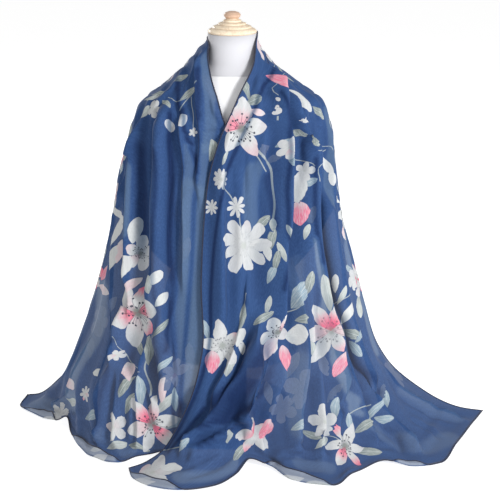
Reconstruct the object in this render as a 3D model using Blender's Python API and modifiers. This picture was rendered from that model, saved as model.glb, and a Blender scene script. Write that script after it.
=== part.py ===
"""A rectangular voile scarf worn as a shawl on a limbless dress form.

Metres, +Z up. The origin is on the dress form's axis, on the surface that the form stands on.
+X is the viewer's right and -Y is the front. The scarf is one cloth: u runs across it from the
inner long edge (0) to the outer long edge (1), and v runs along it, one unit per station, from
the left end on the floor, over the left shoulder, round the back and down to the right end.
"""

import math

import bmesh
import bpy
import numpy as np

WALL = 0.0014  # thickness of the cloth's wall
SEAM = 0.0003  # gap between neighbouring pieces
SEAM_SPARE = 1.6  # the scarf's seams are cut this much wider, for where their ends slant
FLOOR_GAP = 0.0004  # the cloth's underside above the standing surface

# Half sizes of the smooth hull that the cloth hangs on, by height.
HULL_COLUMNS = ("height", "left", "right", "front", "back")
HULL = (
    (0.000, 0.452, 0.470, 0.300, 0.230),
    (0.055, 0.404, 0.415, 0.270, 0.215),
    (0.104, 0.374, 0.358, 0.250, 0.205),
    (0.165, 0.349, 0.320, 0.228, 0.196),
    (0.250, 0.318, 0.294, 0.196, 0.180),
    (0.365, 0.284, 0.263, 0.163, 0.160),
    (0.460, 0.262, 0.237, 0.143, 0.145),
    (0.550, 0.246, 0.224, 0.127, 0.134),
    (0.620, 0.227, 0.216, 0.116, 0.126),
    (0.680, 0.209, 0.205, 0.107, 0.118),
    (0.715, 0.189, 0.188, 0.099, 0.109),
    (0.745, 0.146, 0.143, 0.089, 0.098),
    (0.785, 0.102, 0.092, 0.072, 0.078),
    (0.820, 0.073, 0.063, 0.059, 0.063),
    (0.845, 0.0525, 0.0525, 0.0525, 0.0525),
    (0.860, 0.0525, 0.0525, 0.0525, 0.0525),
)

# One row for each station along the hanging cloth. Bearings are degrees round the form's axis,
# 0 at centre front and negative on the left. "bow" bends the station's way down from inner to
# outer edge, "gather" above 1 draws the cloth towards its inner edge, and "over" lifts its inner
# part clear of the panel beneath.
STATION_COLUMNS = (
    "name", "bearing_in", "height_in", "bearing_out", "height_out", "bow", "gather", "over",
)
LEFT_STATIONS = (
    ("knee", 5.0, 0.150, -102.0, 0.095, 1.0, 1.0, 0.0),
    ("thigh", 6.0, 0.270, -96.0, 0.205, 1.0, 1.0, 0.0),
    ("hip", 7.0, 0.390, -94.0, 0.300, 1.2, 1.0, 0.0),
    ("waist", 7.0, 0.510, -94.0, 0.375, 1.4, 1.0, 0.0),
    ("bust", 5.0, 0.610, -95.0, 0.420, 1.7, 1.0, 0.0),
    ("chest", -4.0, 0.684, -96.0, 0.445, 2.0, 1.0, 0.0),
    ("neck_front", -12.0, 0.740, -98.0, 0.458, 2.2, 1.0, 0.0),
    ("neck_side", -33.0, 0.800, -100.0, 0.464, 2.2, 1.0, 0.0),
    ("collar", -56.0, 0.834, -102.0, 0.466, 2.0, 1.0, 0.0),
    ("shoulder", -90.0, 0.846, -106.0, 0.466, 1.6, 1.0, 0.0),
)
RIGHT_STATIONS = (
    ("shoulder", 90.0, 0.858, 106.0, 0.470, 1.6, 1.0, 0.0),
    ("collar", 64.0, 0.842, 102.0, 0.470, 2.0, 1.0, 0.002),
    ("neck_side", 40.0, 0.812, 100.0, 0.468, 2.2, 1.0, 0.005),
    ("neck_front", 10.0, 0.758, 98.0, 0.460, 2.2, 1.0, 0.007),
    ("chest", -2.5, 0.690, 96.0, 0.445, 2.0, 1.0, 0.009),
    ("bust", -10.0, 0.600, 94.0, 0.420, 1.7, 1.0, 0.010),
    ("waist", -12.5, 0.490, 93.0, 0.370, 1.4, 1.05, 0.011),
    ("hip", -12.5, 0.360, 92.0, 0.290, 1.2, 1.1, 0.012),
    ("thigh", -10.5, 0.240, 92.0, 0.190, 1.0, 1.2, 0.013),
    ("knee", -13.0, 0.140, 92.0, 0.105, 1.0, 1.3, 0.014),
)
BACK_COUNT = 9  # stations between the shoulders, worked out from the two rows beside them
BACK_DIP = 0.245  # how far the outer edge dips from the elbows to centre back
BACK_DIP_POWER = 1.5  # above 1 keeps the dip away from the shoulders

# The hem of each end on the floor: a row for each turn of its lobes.
HEM_COLUMNS = ("u", "x", "y", "lift")
LEFT_HEM = (
    (0.00, 0.035, -0.218, 0.000),
    (0.10, -0.035, -0.216, 0.002),
    (0.18, -0.088, -0.220, 0.004),
    (0.26, -0.145, -0.234, 0.006),
    (0.34, -0.195, -0.258, 0.006),
    (0.43, -0.240, -0.284, 0.004),
    (0.53, -0.295, -0.255, 0.000),
    (0.63, -0.333, -0.195, 0.000),
    (0.71, -0.356, -0.140, 0.004),
    (0.78, -0.370, -0.098, 0.018),
    (0.84, -0.400, -0.086, 0.006),
    (0.91, -0.445, -0.048, 0.000),
    (0.96, -0.492, 0.008, 0.000),
    (1.00, -0.484, 0.060, 0.003),
)
RIGHT_HEM = (
    (0.00, -0.214, -0.302, 0.000),
    (0.035, -0.205, -0.345, 0.002),
    (0.075, -0.165, -0.383, 0.000),
    (0.115, -0.105, -0.398, 0.000),
    (0.155, -0.033, -0.382, 0.000),
    (0.19, 0.008, -0.338, 0.003),
    (0.23, 0.038, -0.292, 0.016),
    (0.30, 0.080, -0.306, 0.006),
    (0.385, 0.122, -0.356, 0.000),
    (0.495, 0.205, -0.380, 0.003),
    (0.595, 0.250, -0.340, 0.008),
    (0.69, 0.322, -0.285, 0.006),
    (0.76, 0.380, -0.294, 0.000),
    (0.83, 0.436, -0.285, 0.004),
    (0.89, 0.482, -0.200, 0.008),
    (0.945, 0.532, -0.095, 0.003),
    (1.00, 0.568, -0.022, 0.000),
)
FLOOR_STEPS = (0.0, 0.30, 0.62)  # way back from the hem to the knee station
FLOOR_RISE = (0.0, 0.008, 0.040)  # height of the cloth at those steps

# The lengthwise folds: where each runs across the cloth at five places, its half width there
# as a share of the cloth, and how far it stands out.
FOLD_COLUMNS = ("hem", "knee", "waist", "chest", "shoulder", "width", "low", "high", "top")
LEFT_FOLDS = (
    (0.04, 0.05, 0.07, 0.06, 0.08, 0.026, 0.002, 0.002, 0.002),
    (0.13, 0.14, 0.19, 0.15, 0.17, 0.036, 0.006, 0.008, 0.004),
    (0.26, 0.27, 0.36, 0.29, 0.27, 0.022, 0.010, 0.008, 0.006),
    (0.35, 0.37, 0.46, 0.49, 0.37, 0.032, 0.031, 0.026, 0.008),
    (0.44, 0.46, 0.56, 0.59, 0.47, 0.022, 0.012, 0.008, 0.007),
    (0.53, 0.55, 0.67, 0.69, 0.57, 0.032, 0.031, 0.025, 0.006),
    (0.64, 0.66, 0.77, 0.78, 0.68, 0.027, 0.022, 0.018, 0.004),
    (0.86, 0.83, 0.85, 0.86, 0.79, 0.028, 0.014, 0.010, 0.003),
    (0.94, 0.93, 0.93, 0.93, 0.89, 0.022, 0.006, 0.005, 0.003),
)
RIGHT_FOLDS = (
    (0.03, 0.07, 0.07, 0.06, 0.08, 0.024, 0.008, 0.004, 0.002),
    (0.085, 0.16, 0.18, 0.16, 0.17, 0.034, 0.030, 0.018, 0.004),
    (0.16, 0.26, 0.33, 0.31, 0.26, 0.026, 0.028, 0.020, 0.006),
    (0.35, 0.41, 0.46, 0.47, 0.38, 0.034, 0.032, 0.028, 0.008),
    (0.46, 0.52, 0.57, 0.59, 0.47, 0.022, 0.014, 0.008, 0.007),
    (0.57, 0.62, 0.67, 0.69, 0.57, 0.032, 0.031, 0.026, 0.006),
    (0.69, 0.72, 0.76, 0.78, 0.68, 0.027, 0.022, 0.018, 0.004),
    (0.80, 0.82, 0.84, 0.86, 0.79, 0.028, 0.014, 0.010, 0.003),
    (0.93, 0.92, 0.93, 0.93, 0.89, 0.022, 0.006, 0.005, 0.003),
)
SWAG_COLUMNS = ("centre", "width", "depth")
BACK_SWAGS = (
    (0.08, 0.036, 0.004),
    (0.18, 0.036, 0.008),
    (0.29, 0.040, 0.016),
    (0.41, 0.042, 0.024),
    (0.52, 0.042, 0.028),
    (0.63, 0.042, 0.030),
    (0.74, 0.040, 0.028),
    (0.84, 0.036, 0.020),
    (0.93, 0.028, 0.010),
)
OVERLAP_SHARE = 0.45  # of the right panel is lifted clear of the left one
UNDERLAP_BEARING = -16.0  # the left panel lies flat where it runs under the right one
UNDERLAP_FADE = 14.0
FOLD_PLACES = (0, 1, 3, 6, 8, 12)  # stations of hem, break, knee, waist, chest and shoulder
HEM_SHARE = 0.15  # of a fold's depth is left at the hem
BREAK_SHARE = 0.25  # and where the cloth lifts off the floor
CHEST_SHARE = 0.6  # of its depth at the waist is left at the chest
STEEPEST = 1.12  # a fold stands out no more than this share of its half width
LEAST_RISE = 0.1  # folds never lean down more than this
EDGE_FADE = 0.035  # folds die out within this share of each long edge
NORMAL_STEP = 0.004  # how far apart in u and v the points are that a normal is worked out from

LEFT_ACROSS = 40
RIGHT_ACROSS = 42
BACK_ACROSS = 36
ROWS_PER_STATION = 2
HEM_ROWS_PER_STATION = 3
BACK_ROWS = 20

# The dress form.
FORM_COLUMNS = ("height", "side", "front", "back")
FORM = (
    (0.130, 0.128, 0.082, 0.090),
    (0.138, 0.140, 0.090, 0.100),
    (0.180, 0.158, 0.098, 0.120),
    (0.230, 0.163, 0.098, 0.126),
    (0.300, 0.150, 0.090, 0.112),
    (0.370, 0.126, 0.080, 0.086),
    (0.420, 0.118, 0.078, 0.078),
    (0.480, 0.128, 0.086, 0.084),
    (0.550, 0.148, 0.099, 0.096),
    (0.610, 0.166, 0.105, 0.106),
    (0.660, 0.180, 0.099, 0.110),
    (0.695, 0.188, 0.090, 0.106),
    (0.715, 0.188, 0.084, 0.100),
    (0.735, 0.158, 0.075, 0.090),
    (0.755, 0.110, 0.064, 0.076),
    (0.775, 0.074, 0.056, 0.062),
    (0.798, 0.056, 0.0515, 0.053),
    (0.825, 0.0515, 0.0505, 0.0510),
    (0.856, 0.0513, 0.0513, 0.0513),
)
FORM_SIDES = 32
NECK_TOP = FORM[-1][0]

CAP_PROFILE = (  # radius, height above the neck's top: knob, stepped dome, brim, seat
    (0.0000, 0.0455), (0.0080, 0.0450), (0.0145, 0.0425), (0.0180, 0.0385),
    (0.0172, 0.0345), (0.0140, 0.0310), (0.0140, 0.0290), (0.0190, 0.0270),
    (0.0200, 0.0235), (0.0290, 0.0210), (0.0300, 0.0180), (0.0400, 0.0145),
    (0.0415, 0.0115), (0.0490, 0.0080), (0.0515, 0.0050), (0.0515, 0.0020),
    (0.0495, 0.0003), (0.0000, 0.0003),
)
CAP_SIDES = 36

POST_RADIUS = 0.016
POST_SIDES = 24
BASE_RADIUS = 0.125
BASE_HEIGHT = 0.022
BASE_ROUND = 0.006  # radius of the upper edge's rounding
BASE_ROUND_STEPS = 4
BASE_BEVEL = 0.0015  # of the lower edge
BASE_SIDES = 48


def rows(table, columns):
    """Give each column of a table as an array, by name."""
    return {name: np.array([row[k] for row in table]) for k, name in enumerate(columns)}


def smooth_lookup(x, knots, values):
    """Read a table along a smooth curve through its rows that never overshoots them."""
    x = np.clip(np.asarray(x, dtype=float), knots[0], knots[-1])
    step = np.diff(knots)
    slope = np.diff(values) / step
    tangent = np.zeros(len(knots))
    tangent[0] = slope[0]
    tangent[-1] = slope[-1]
    for k in range(1, len(knots) - 1):
        if slope[k - 1] * slope[k] > 0:
            tangent[k] = 2 * slope[k - 1] * slope[k] / (slope[k - 1] + slope[k])
    k = np.clip(np.searchsorted(knots, x, side="right") - 1, 0, len(step) - 1)
    t = (x - knots[k]) / step[k]
    return (
        (2 * t**3 - 3 * t**2 + 1) * values[k]
        + (t**3 - 2 * t**2 + t) * step[k] * tangent[k]
        + (3 * t**2 - 2 * t**3) * values[k + 1]
        + (t**3 - t**2) * step[k] * tangent[k + 1]
    )


def smooth_step(t):
    t = np.clip(t, 0.0, 1.0)
    return t * t * (3 - 2 * t)


def hull_point(place):
    """Points on the hull, from bearings in degrees, heights and ways out from the hull."""
    bearing, height, out = np.moveaxis(place, -1, 0)
    hull = rows(HULL, HULL_COLUMNS)
    size = {name: smooth_lookup(height, hull["height"], hull[name]) for name in HULL_COLUMNS}
    angle = np.radians(bearing)
    side = np.where(np.sin(angle) < 0, size["left"], size["right"]) + out
    depth = np.where(np.cos(angle) > 0, size["front"], size["back"]) + out
    return np.stack([side * np.sin(angle), -depth * np.cos(angle), height], axis=-1)


def hung_station(station, u, turn=0.0):
    """Bearing, height and way out of the hull for the points of one station."""
    _, bearing_in, height_in, bearing_out, height_out, bow, gather, over = station
    bearing = bearing_in + (bearing_out - bearing_in) * u**gather - turn
    height = height_in + (height_out - height_in) * u**bow
    return np.stack([bearing, height, over * (1 - smooth_step(u / OVERLAP_SHARE))], axis=-1)


def back_stations(u):
    """The stations round the back, from shoulder to shoulder."""
    _, left_in, left_high, left_out, left_low, bow, gather, over = LEFT_STATIONS[-1]
    _, right_in, right_high, right_out, right_low, *_ = RIGHT_STATIONS[0]
    stations = []
    for k in range(1, BACK_COUNT + 1):
        t = k / (BACK_COUNT + 1)
        dip = math.sin(math.pi * t) ** BACK_DIP_POWER
        stations.append(hung_station((
            "back",
            left_in + (right_in - 360 - left_in) * t,
            left_high + (right_high - left_high) * t,
            left_out + (right_out - 360 - left_out) * t,
            left_low + (right_low - left_low) * t - BACK_DIP * dip,
            bow + (1 - bow) * dip,
            gather,
            over,
        ), u))
    return stations


def hung_stations(u):
    """Every station of the hanging cloth, from the left knee round the back to the right one."""
    left = [hung_station(row, u) for row in LEFT_STATIONS]
    right = [hung_station(row, u, turn=360.0) for row in RIGHT_STATIONS]
    return np.array(left + back_stations(u) + right)


def floor_stations(hem_table, knee, u):
    """The stations on the floor, from the hem back to where the cloth rises to the knee."""
    hem = rows(hem_table, HEM_COLUMNS)
    x = smooth_lookup(u, hem["u"], hem["x"])
    y = smooth_lookup(u, hem["u"], hem["y"])
    lift = smooth_lookup(u, hem["u"], hem["lift"])
    stations = []
    for step, rise in zip(FLOOR_STEPS, FLOOR_RISE):
        place = np.stack([x, y, np.zeros_like(u)], axis=-1) * (1 - step) + knee * step
        place[:, 2] = WALL / 2 + FLOOR_GAP + rise + lift * (1 - step)
        stations.append(place)
    return stations


PANEL_COUNT = len(FLOOR_STEPS) + len(LEFT_STATIONS)
KNEE = len(FLOOR_STEPS)
LEFT_SHOULDER = PANEL_COUNT - 1
RIGHT_SHOULDER = PANEL_COUNT + BACK_COUNT
LAST = RIGHT_SHOULDER + PANEL_COUNT - 1


def along(stations, v):
    """A smooth curve through the stations, read at each v."""
    count = len(stations)
    k = np.clip(np.floor(v).astype(int), 0, count - 2)
    t = (v - k)[:, None, None]
    before = stations[np.maximum(k - 1, 0)]
    start = stations[k]
    end = stations[k + 1]
    after = stations[np.minimum(k + 2, count - 1)]
    return start + 0.5 * t * (
        (end - before) + t * (2 * before - 5 * start + 4 * end - after
                              + t * (3 * (start - end) + after - before))
    )


def fold_rows(v):
    """Place, half width and depth of each fold at each v."""
    left = rows(LEFT_FOLDS, FOLD_COLUMNS)
    right = rows(RIGHT_FOLDS, FOLD_COLUMNS)
    back = rows(BACK_SWAGS, SWAG_COLUMNS)
    ends = np.array(FOLD_PLACES)
    middle = (LEFT_SHOULDER + RIGHT_SHOULDER) / 2
    knots = np.concatenate([ends, [middle], LAST - ends[::-1]])
    found = []
    for k in range(len(LEFT_FOLDS)):
        centre, depth, width = [], [], []
        for side in (left, right):
            hem, knee = side["hem"][k], side["knee"][k]
            low, high = side["low"][k], side["high"][k]
            centre.append([hem, (2 * hem + knee) / 3, knee, side["waist"][k],
                           side["chest"][k], side["shoulder"][k]])
            depth.append([low * HEM_SHARE, low * BREAK_SHARE, low, high, high * CHEST_SHARE,
                          side["top"][k]])
            width.append([side["width"][k]] * len(ends))
        found.append([
            smooth_lookup(v, knots, np.array(one[0] + [back[name][k]] + one[1][::-1]))
            for name, one in (("centre", centre), ("width", width), ("depth", depth))
        ])
    return found


def fold_height(u, v, base):
    """How far the cloth stands out from the hull."""
    total = np.zeros((len(v), len(u)))
    length = np.linalg.norm(np.gradient(base, u, axis=1), axis=-1)
    for centre, width, depth in fold_rows(v):
        t = (u[None, :] - centre[:, None]) / width[:, None]
        most = STEEPEST * width[:, None] * length
        total += (depth[:, None] ** -4 + most**-4) ** -0.25 * np.exp(-t * t)
    total *= (smooth_step(u / EDGE_FADE) * smooth_step((1 - u) / EDGE_FADE))[None, :]
    bearing = np.degrees(np.arctan2(base[..., 0], -base[..., 1]))
    under = smooth_step((bearing - UNDERLAP_BEARING) / UNDERLAP_FADE + 1)
    left = (v < LEFT_SHOULDER - 3)[:, None]
    return total * np.where(left, 1 - under, 1.0)


def normals(surface, u, v):
    """Unit normals of a surface at each v and u, facing away from the dress form."""
    step = NORMAL_STEP
    across = surface(np.minimum(u + step, 1), v) - surface(np.maximum(u - step, 0), v)
    down = surface(u, np.minimum(v + step, LAST)) - surface(u, np.maximum(v - step, 0))
    normal = np.cross(down, across)
    return normal / np.maximum(np.linalg.norm(normal, axis=-1, keepdims=True), 1e-12)


def smooth_cloth(u, v):
    """The cloth before its folds: on its hull where it hangs, and eased down to its hems."""
    places = hung_stations(u)
    points = hull_point(places)
    left = floor_stations(LEFT_HEM, points[0], u)
    right = floor_stations(RIGHT_HEM, points[-1], u)[::-1]
    eased = along(np.array(left + list(points) + right), v)
    on_hull = hull_point(along(places, np.clip(v - KNEE, 0, LAST - 2 * KNEE)))
    share = smooth_step(np.minimum(v - KNEE, LAST - KNEE - v))[:, None, None]
    return eased * (1 - share) + on_hull * share


def cloth(u, v):
    """The middle of the cloth at each v and u."""
    base = smooth_cloth(u, v)
    outward = normals(smooth_cloth, u, v)
    outward[..., 2] = np.maximum(outward[..., 2], LEAST_RISE)
    grid = base + outward * fold_height(u, v, base)[..., None]
    grid[..., 2] = np.maximum(grid[..., 2], WALL / 2 + FLOOR_GAP)
    return grid


def spread(places, count):
    """Values from 0 to 1 that include the given places, the rest shared out between them."""
    marks = np.unique(np.concatenate([[0.0], places, [1.0]]))
    shares = np.maximum(1, np.round(np.diff(marks) * count)).astype(int)
    parts = [np.linspace(a, b, n, endpoint=False) for a, b, n in zip(marks[:-1], marks[1:], shares)]
    return np.concatenate(parts + [[1.0]])


def wall_mesh(name, u, v):
    """A closed wall of the cloth's thickness round its middle points."""
    grid = cloth(u, v)
    normal = normals(cloth, u, v)
    outer = grid + normal * WALL / 2
    inner = grid - normal * WALL / 2
    outer[..., 2] = np.maximum(outer[..., 2], FLOOR_GAP)
    inner[..., 2] = np.maximum(inner[..., 2], FLOOR_GAP)
    count_v, count_u = grid.shape[:2]
    shell = bmesh.new()
    faces = [[shell.verts.new(p) for p in side.reshape(-1, 3)] for side in (outer, inner)]

    def at(side, i, j):
        return faces[side][i * count_u + j]

    falling = np.linalg.norm(grid[1:, 1:] - grid[:-1, :-1], axis=-1)
    rising = np.linalg.norm(grid[1:, :-1] - grid[:-1, 1:], axis=-1)
    for i in range(count_v - 1):
        for j in range(count_u - 1):
            ring = [(i, j), (i, j + 1), (i + 1, j + 1), (i + 1, j)]
            if rising[i, j] < falling[i, j]:
                ring = ring[1:] + ring[:1]
            for half in (ring[:3], ring[2:] + ring[:1]):
                shell.faces.new([at(0, *p) for p in half])
                shell.faces.new([at(1, *p) for p in reversed(half)])
    rim = [(0, j) for j in range(count_u)]
    rim += [(i, count_u - 1) for i in range(1, count_v)]
    rim += [(count_v - 1, j) for j in range(count_u - 2, -1, -1)]
    rim += [(i, 0) for i in range(count_v - 2, 0, -1)]
    for a, b in zip(rim, rim[1:] + rim[:1]):
        shell.faces.new([at(0, *b), at(0, *a), at(1, *a), at(1, *b)])
    bmesh.ops.triangulate(shell, faces=shell.faces[:])
    bmesh.ops.recalc_face_normals(shell, faces=shell.faces[:])
    return finish_mesh(name, shell)


def finish_mesh(name, shell):
    mesh = bpy.data.meshes.new(name)
    shell.to_mesh(mesh)
    shell.free()
    mesh.shade_smooth()
    mesh.set_sharp_from_angle(angle=math.radians(50))
    return mesh


def add_object(name, mesh, collection, material):
    made = bpy.data.objects.new(name, mesh)
    mesh.materials.append(material)
    collection.objects.link(made)
    return made


def plain_material(name, colour, roughness):
    made = bpy.data.materials.new(name)
    made.use_nodes = True
    shader = made.node_tree.nodes["Principled BSDF"]
    shader.inputs["Base Color"].default_value = (*colour, 1.0)
    shader.inputs["Roughness"].default_value = roughness
    shader.inputs["Metallic"].default_value = 0.0
    return made


def voile_material():
    return plain_material("printed voile", (0.035, 0.085, 0.24), 0.85)


def cover_material():
    return plain_material("white jersey cover", (0.82, 0.81, 0.80), 0.9)


def wood_material():
    return plain_material("pale turned wood", (0.80, 0.62, 0.42), 0.5)


def cloth_pieces(collection):
    """The three stretches of the scarf."""
    voile = voile_material()
    left = rows(LEFT_FOLDS, FOLD_COLUMNS)["waist"]
    right = rows(RIGHT_FOLDS, FOLD_COLUMNS)["waist"]
    back = rows(BACK_SWAGS, SWAG_COLUMNS)["centre"]
    hung = (len(LEFT_STATIONS) - 1) * ROWS_PER_STATION
    floor = len(FLOOR_STEPS) * HEM_ROWS_PER_STATION
    left_v = np.concatenate([
        np.linspace(0, len(FLOOR_STEPS), floor, endpoint=False),
        np.linspace(len(FLOOR_STEPS), LEFT_SHOULDER, hung + 1),
    ])
    right_v = LAST - left_v[::-1]
    back_v = np.linspace(LEFT_SHOULDER, RIGHT_SHOULDER, BACK_ROWS + 1)
    step = seam_step(LEFT_SHOULDER)
    left_v[-1] -= step
    back_v[0] += step
    step = seam_step(RIGHT_SHOULDER)
    back_v[-1] -= step
    right_v[0] += step
    for name, across, v in (
        ("scarf_front_left", spread(left, LEFT_ACROSS), left_v),
        ("scarf_back", spread(back, BACK_ACROSS), back_v),
        ("scarf_front_right", spread(right, RIGHT_ACROSS), right_v),
    ):
        add_object(name, wall_mesh(name, across, v), collection, voile)


def seam_step(v):
    """How far each piece stops from a seam, in v, for the seam's gap all along it."""
    u = np.linspace(0, 1, BACK_ACROSS)
    reach = NORMAL_STEP
    pair = cloth(u, np.array([v - reach, v + reach]))
    shortest = np.linalg.norm(pair[1] - pair[0], axis=-1).min() / (2 * reach)
    return SEAM_SPARE * SEAM / shortest / 2


def form_body(collection):
    """The covered torso and neck, lofted through its level sections."""
    table = rows(FORM, FORM_COLUMNS)
    shell = bmesh.new()
    rings = []
    for k in range(len(FORM)):
        ring = []
        for n in range(FORM_SIDES):
            angle = 2 * math.pi * n / FORM_SIDES
            depth = table["front"][k] if math.cos(angle) > 0 else table["back"][k]
            ring.append(shell.verts.new((
                table["side"][k] * math.sin(angle),
                -depth * math.cos(angle),
                table["height"][k],
            )))
        rings.append(ring)
    for low, high in zip(rings, rings[1:]):
        for n in range(FORM_SIDES):
            m = (n + 1) % FORM_SIDES
            shell.faces.new([low[n], low[m], high[m], high[n]])
    shell.faces.new(rings[0])
    shell.faces.new(rings[-1])
    bmesh.ops.recalc_face_normals(shell, faces=shell.faces[:])
    add_object("form_body", finish_mesh("form_body", shell), collection, cover_material())


def turned_piece(name, profile, sides, base, collection, material):
    """A solid of revolution whose profile runs down its outer side."""
    mesh = bpy.data.meshes.new(name)
    points = [(radius, 0.0, height) for radius, height in profile]
    mesh.from_pydata(points, [(k, k + 1) for k in range(len(points) - 1)], [])
    made = add_object(name, mesh, collection, material)
    made.location.z = base
    turn = made.modifiers.new("turn", "SCREW")
    turn.steps = sides
    turn.render_steps = sides
    turn.use_merge_vertices = True
    turn.merge_threshold = 0.0001
    turn.use_smooth_shade = True
    return made


def form_stand(collection):
    """Neck cap, post and base."""
    wood = wood_material()
    turned_piece("form_cap", CAP_PROFILE, CAP_SIDES, NECK_TOP, collection, wood)
    post_top = FORM[0][0] - SEAM
    post_foot = BASE_HEIGHT + SEAM
    post = ((0.0, post_top), (POST_RADIUS, post_top), (POST_RADIUS, post_foot), (0.0, post_foot))
    turned_piece("form_post", post, POST_SIDES, 0.0, collection, wood)
    base = [(0.0, BASE_HEIGHT)]
    for k in range(BASE_ROUND_STEPS + 1):
        angle = math.pi / 2 * (1 - k / BASE_ROUND_STEPS)
        base.append((BASE_RADIUS - BASE_ROUND + BASE_ROUND * math.cos(angle),
                     BASE_HEIGHT - BASE_ROUND + BASE_ROUND * math.sin(angle)))
    base += [(BASE_RADIUS, BASE_BEVEL), (BASE_RADIUS - BASE_BEVEL, 0.0), (0.0, 0.0)]
    turned_piece("form_base", base, BASE_SIDES, 0.0, collection, wood)


def main():
    for old in list(bpy.data.objects):
        bpy.data.objects.remove(old)
    collection = bpy.data.collections.new("voile scarf on a dress form")
    bpy.context.scene.collection.children.link(collection)
    cloth_pieces(collection)
    form_body(collection)
    form_stand(collection)


main()
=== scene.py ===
"""Looks of the voile scarf on its dress form: the draped cloth with its folds, rolled hem and
flower print, the form's cover and turned wood, a pale floor, soft light and the camera.
"""

import math

import bmesh
import bpy
import numpy as np
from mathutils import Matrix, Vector, kdtree


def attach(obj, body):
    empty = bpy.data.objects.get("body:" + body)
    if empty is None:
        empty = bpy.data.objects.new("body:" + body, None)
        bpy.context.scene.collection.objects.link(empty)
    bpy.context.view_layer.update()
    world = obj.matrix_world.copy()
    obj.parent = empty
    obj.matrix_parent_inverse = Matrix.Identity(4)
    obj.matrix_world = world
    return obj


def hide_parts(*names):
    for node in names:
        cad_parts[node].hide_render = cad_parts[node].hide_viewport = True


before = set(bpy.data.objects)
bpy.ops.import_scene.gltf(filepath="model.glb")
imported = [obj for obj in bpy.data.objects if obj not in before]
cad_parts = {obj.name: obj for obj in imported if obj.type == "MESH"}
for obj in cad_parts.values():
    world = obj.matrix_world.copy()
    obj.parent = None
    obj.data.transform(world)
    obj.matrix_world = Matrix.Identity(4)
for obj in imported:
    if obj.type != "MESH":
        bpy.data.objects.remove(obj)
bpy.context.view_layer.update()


# ---------------------------------------------------------------- tables

def table(text, *scales):
    """The rows of numbers in a text, each number divided by its column's scale."""
    return [tuple(float(word) / scale for word, scale in zip(row.split(), scales))
            for row in text.strip().splitlines()]


def drawn(text, *scales):
    """The same for rows that begin with a path in pixels: the path, then the other numbers."""
    found = []
    for row in text.strip().splitlines():
        path, sizes = row.split(":")
        pixels = [float(word) for word in path.split()]
        found.append((list(zip(pixels[::2], pixels[1::2])), *table(sizes, *scales)[0]))
    return found


def columns(rows, names):
    """Each column of a table as an array, by name."""
    return {name: np.array([row[k] for row in rows]) for k, name in enumerate(names)}


# ---------------------------------------------------------------- the cloth's sizes, in metres

LIFT = 0.0011  # the cloth's middle above the floor at its hems
PERCENT, MILLI = 100, 1000

# The hull that the cloth hangs on: half sizes at each height, in millimetres.
HULL_COLUMNS = ("height", "left", "right", "front", "back")
HULL = columns(table("""
0 452 470 300 230
55 404 415 270 215
104 374 358 250 205
165 349 320 228 196
250 318 294 196 180
365 284 263 163 160
460 262 237 143 145
550 246 224 127 134
620 227 216 116 126
680 209 205 107 118
715 189 188 99 109
745 146 143 89 98
785 102 92 72 78
820 73 63 59 63
845 52.5 52.5 52.5 52.5
860 52.5 52.5 52.5 52.5
""", *[MILLI] * 5), HULL_COLUMNS)

# Stations down each panel: bearing in degrees and height in millimetres of the inner edge, the
# same of the outer edge, bow, gather, and how far the inner edge laps over, in millimetres.
STATION_SCALES = (1, MILLI, 1, MILLI, 1, 1, MILLI)
LEFT_STATIONS = table("""
5 150 -102 95 1 1 0
6 270 -96 205 1 1 0
7 390 -94 300 1.2 1 0
7 510 -94 375 1.4 1 0
5 610 -95 420 1.7 1 0
-4 684 -96 445 2 1 0
-12 740 -98 458 2.2 1 0
-33 800 -100 464 2.2 1 0
-56 834 -102 466 2 1 0
-90 846 -106 466 1.6 1 0
""", *STATION_SCALES)
RIGHT_STATIONS = table("""
90 858 106 470 1.6 1 0
64 842 102 470 2 1 2
40 812 100 468 2.2 1 5
10 758 98 460 2.2 1 7
-2.5 690 96 445 2 1 9
-10 600 94 420 1.7 1 10
-12.5 490 93 370 1.4 1.05 11
-12.5 360 92 290 1.2 1.1 12
-10.5 240 92 190 1 1.2 13
-13 140 92 105 1 1.3 14
""", *STATION_SCALES)
BACK_COUNT = 9
BACK_DIP = 0.245
BACK_DIP_POWER = 1.5

# The hems on the floor: share of the width, place and height above the floor.
HEM_COLUMNS = ("u", "x", "y", "lift")
LEFT_HEM = columns(table("""
0 35 -218 0
100 -35 -216 2
180 -88 -220 4
260 -145 -234 6
340 -195 -258 6
430 -240 -284 4
530 -295 -255 0
630 -333 -195 0
710 -356 -140 4
780 -370 -98 18
840 -400 -86 6
910 -445 -48 0
960 -492 8 0
1000 -484 60 3
""", *[MILLI] * 4), HEM_COLUMNS)
RIGHT_HEM = columns(table("""
0 -214 -302 0
35 -205 -345 2
75 -165 -383 0
115 -105 -398 0
155 -33 -382 0
190 8 -338 3
230 38 -292 16
300 80 -306 6
385 122 -356 0
495 205 -380 3
595 250 -340 8
690 322 -285 6
760 380 -294 0
830 436 -285 4
890 482 -200 8
945 532 -95 3
1000 568 -22 0
""", *[MILLI] * 4), HEM_COLUMNS)
FLOOR_STEPS = (0.0, 0.30, 0.62)
FLOOR_RISE = (0.0, 0.008, 0.040)

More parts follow.
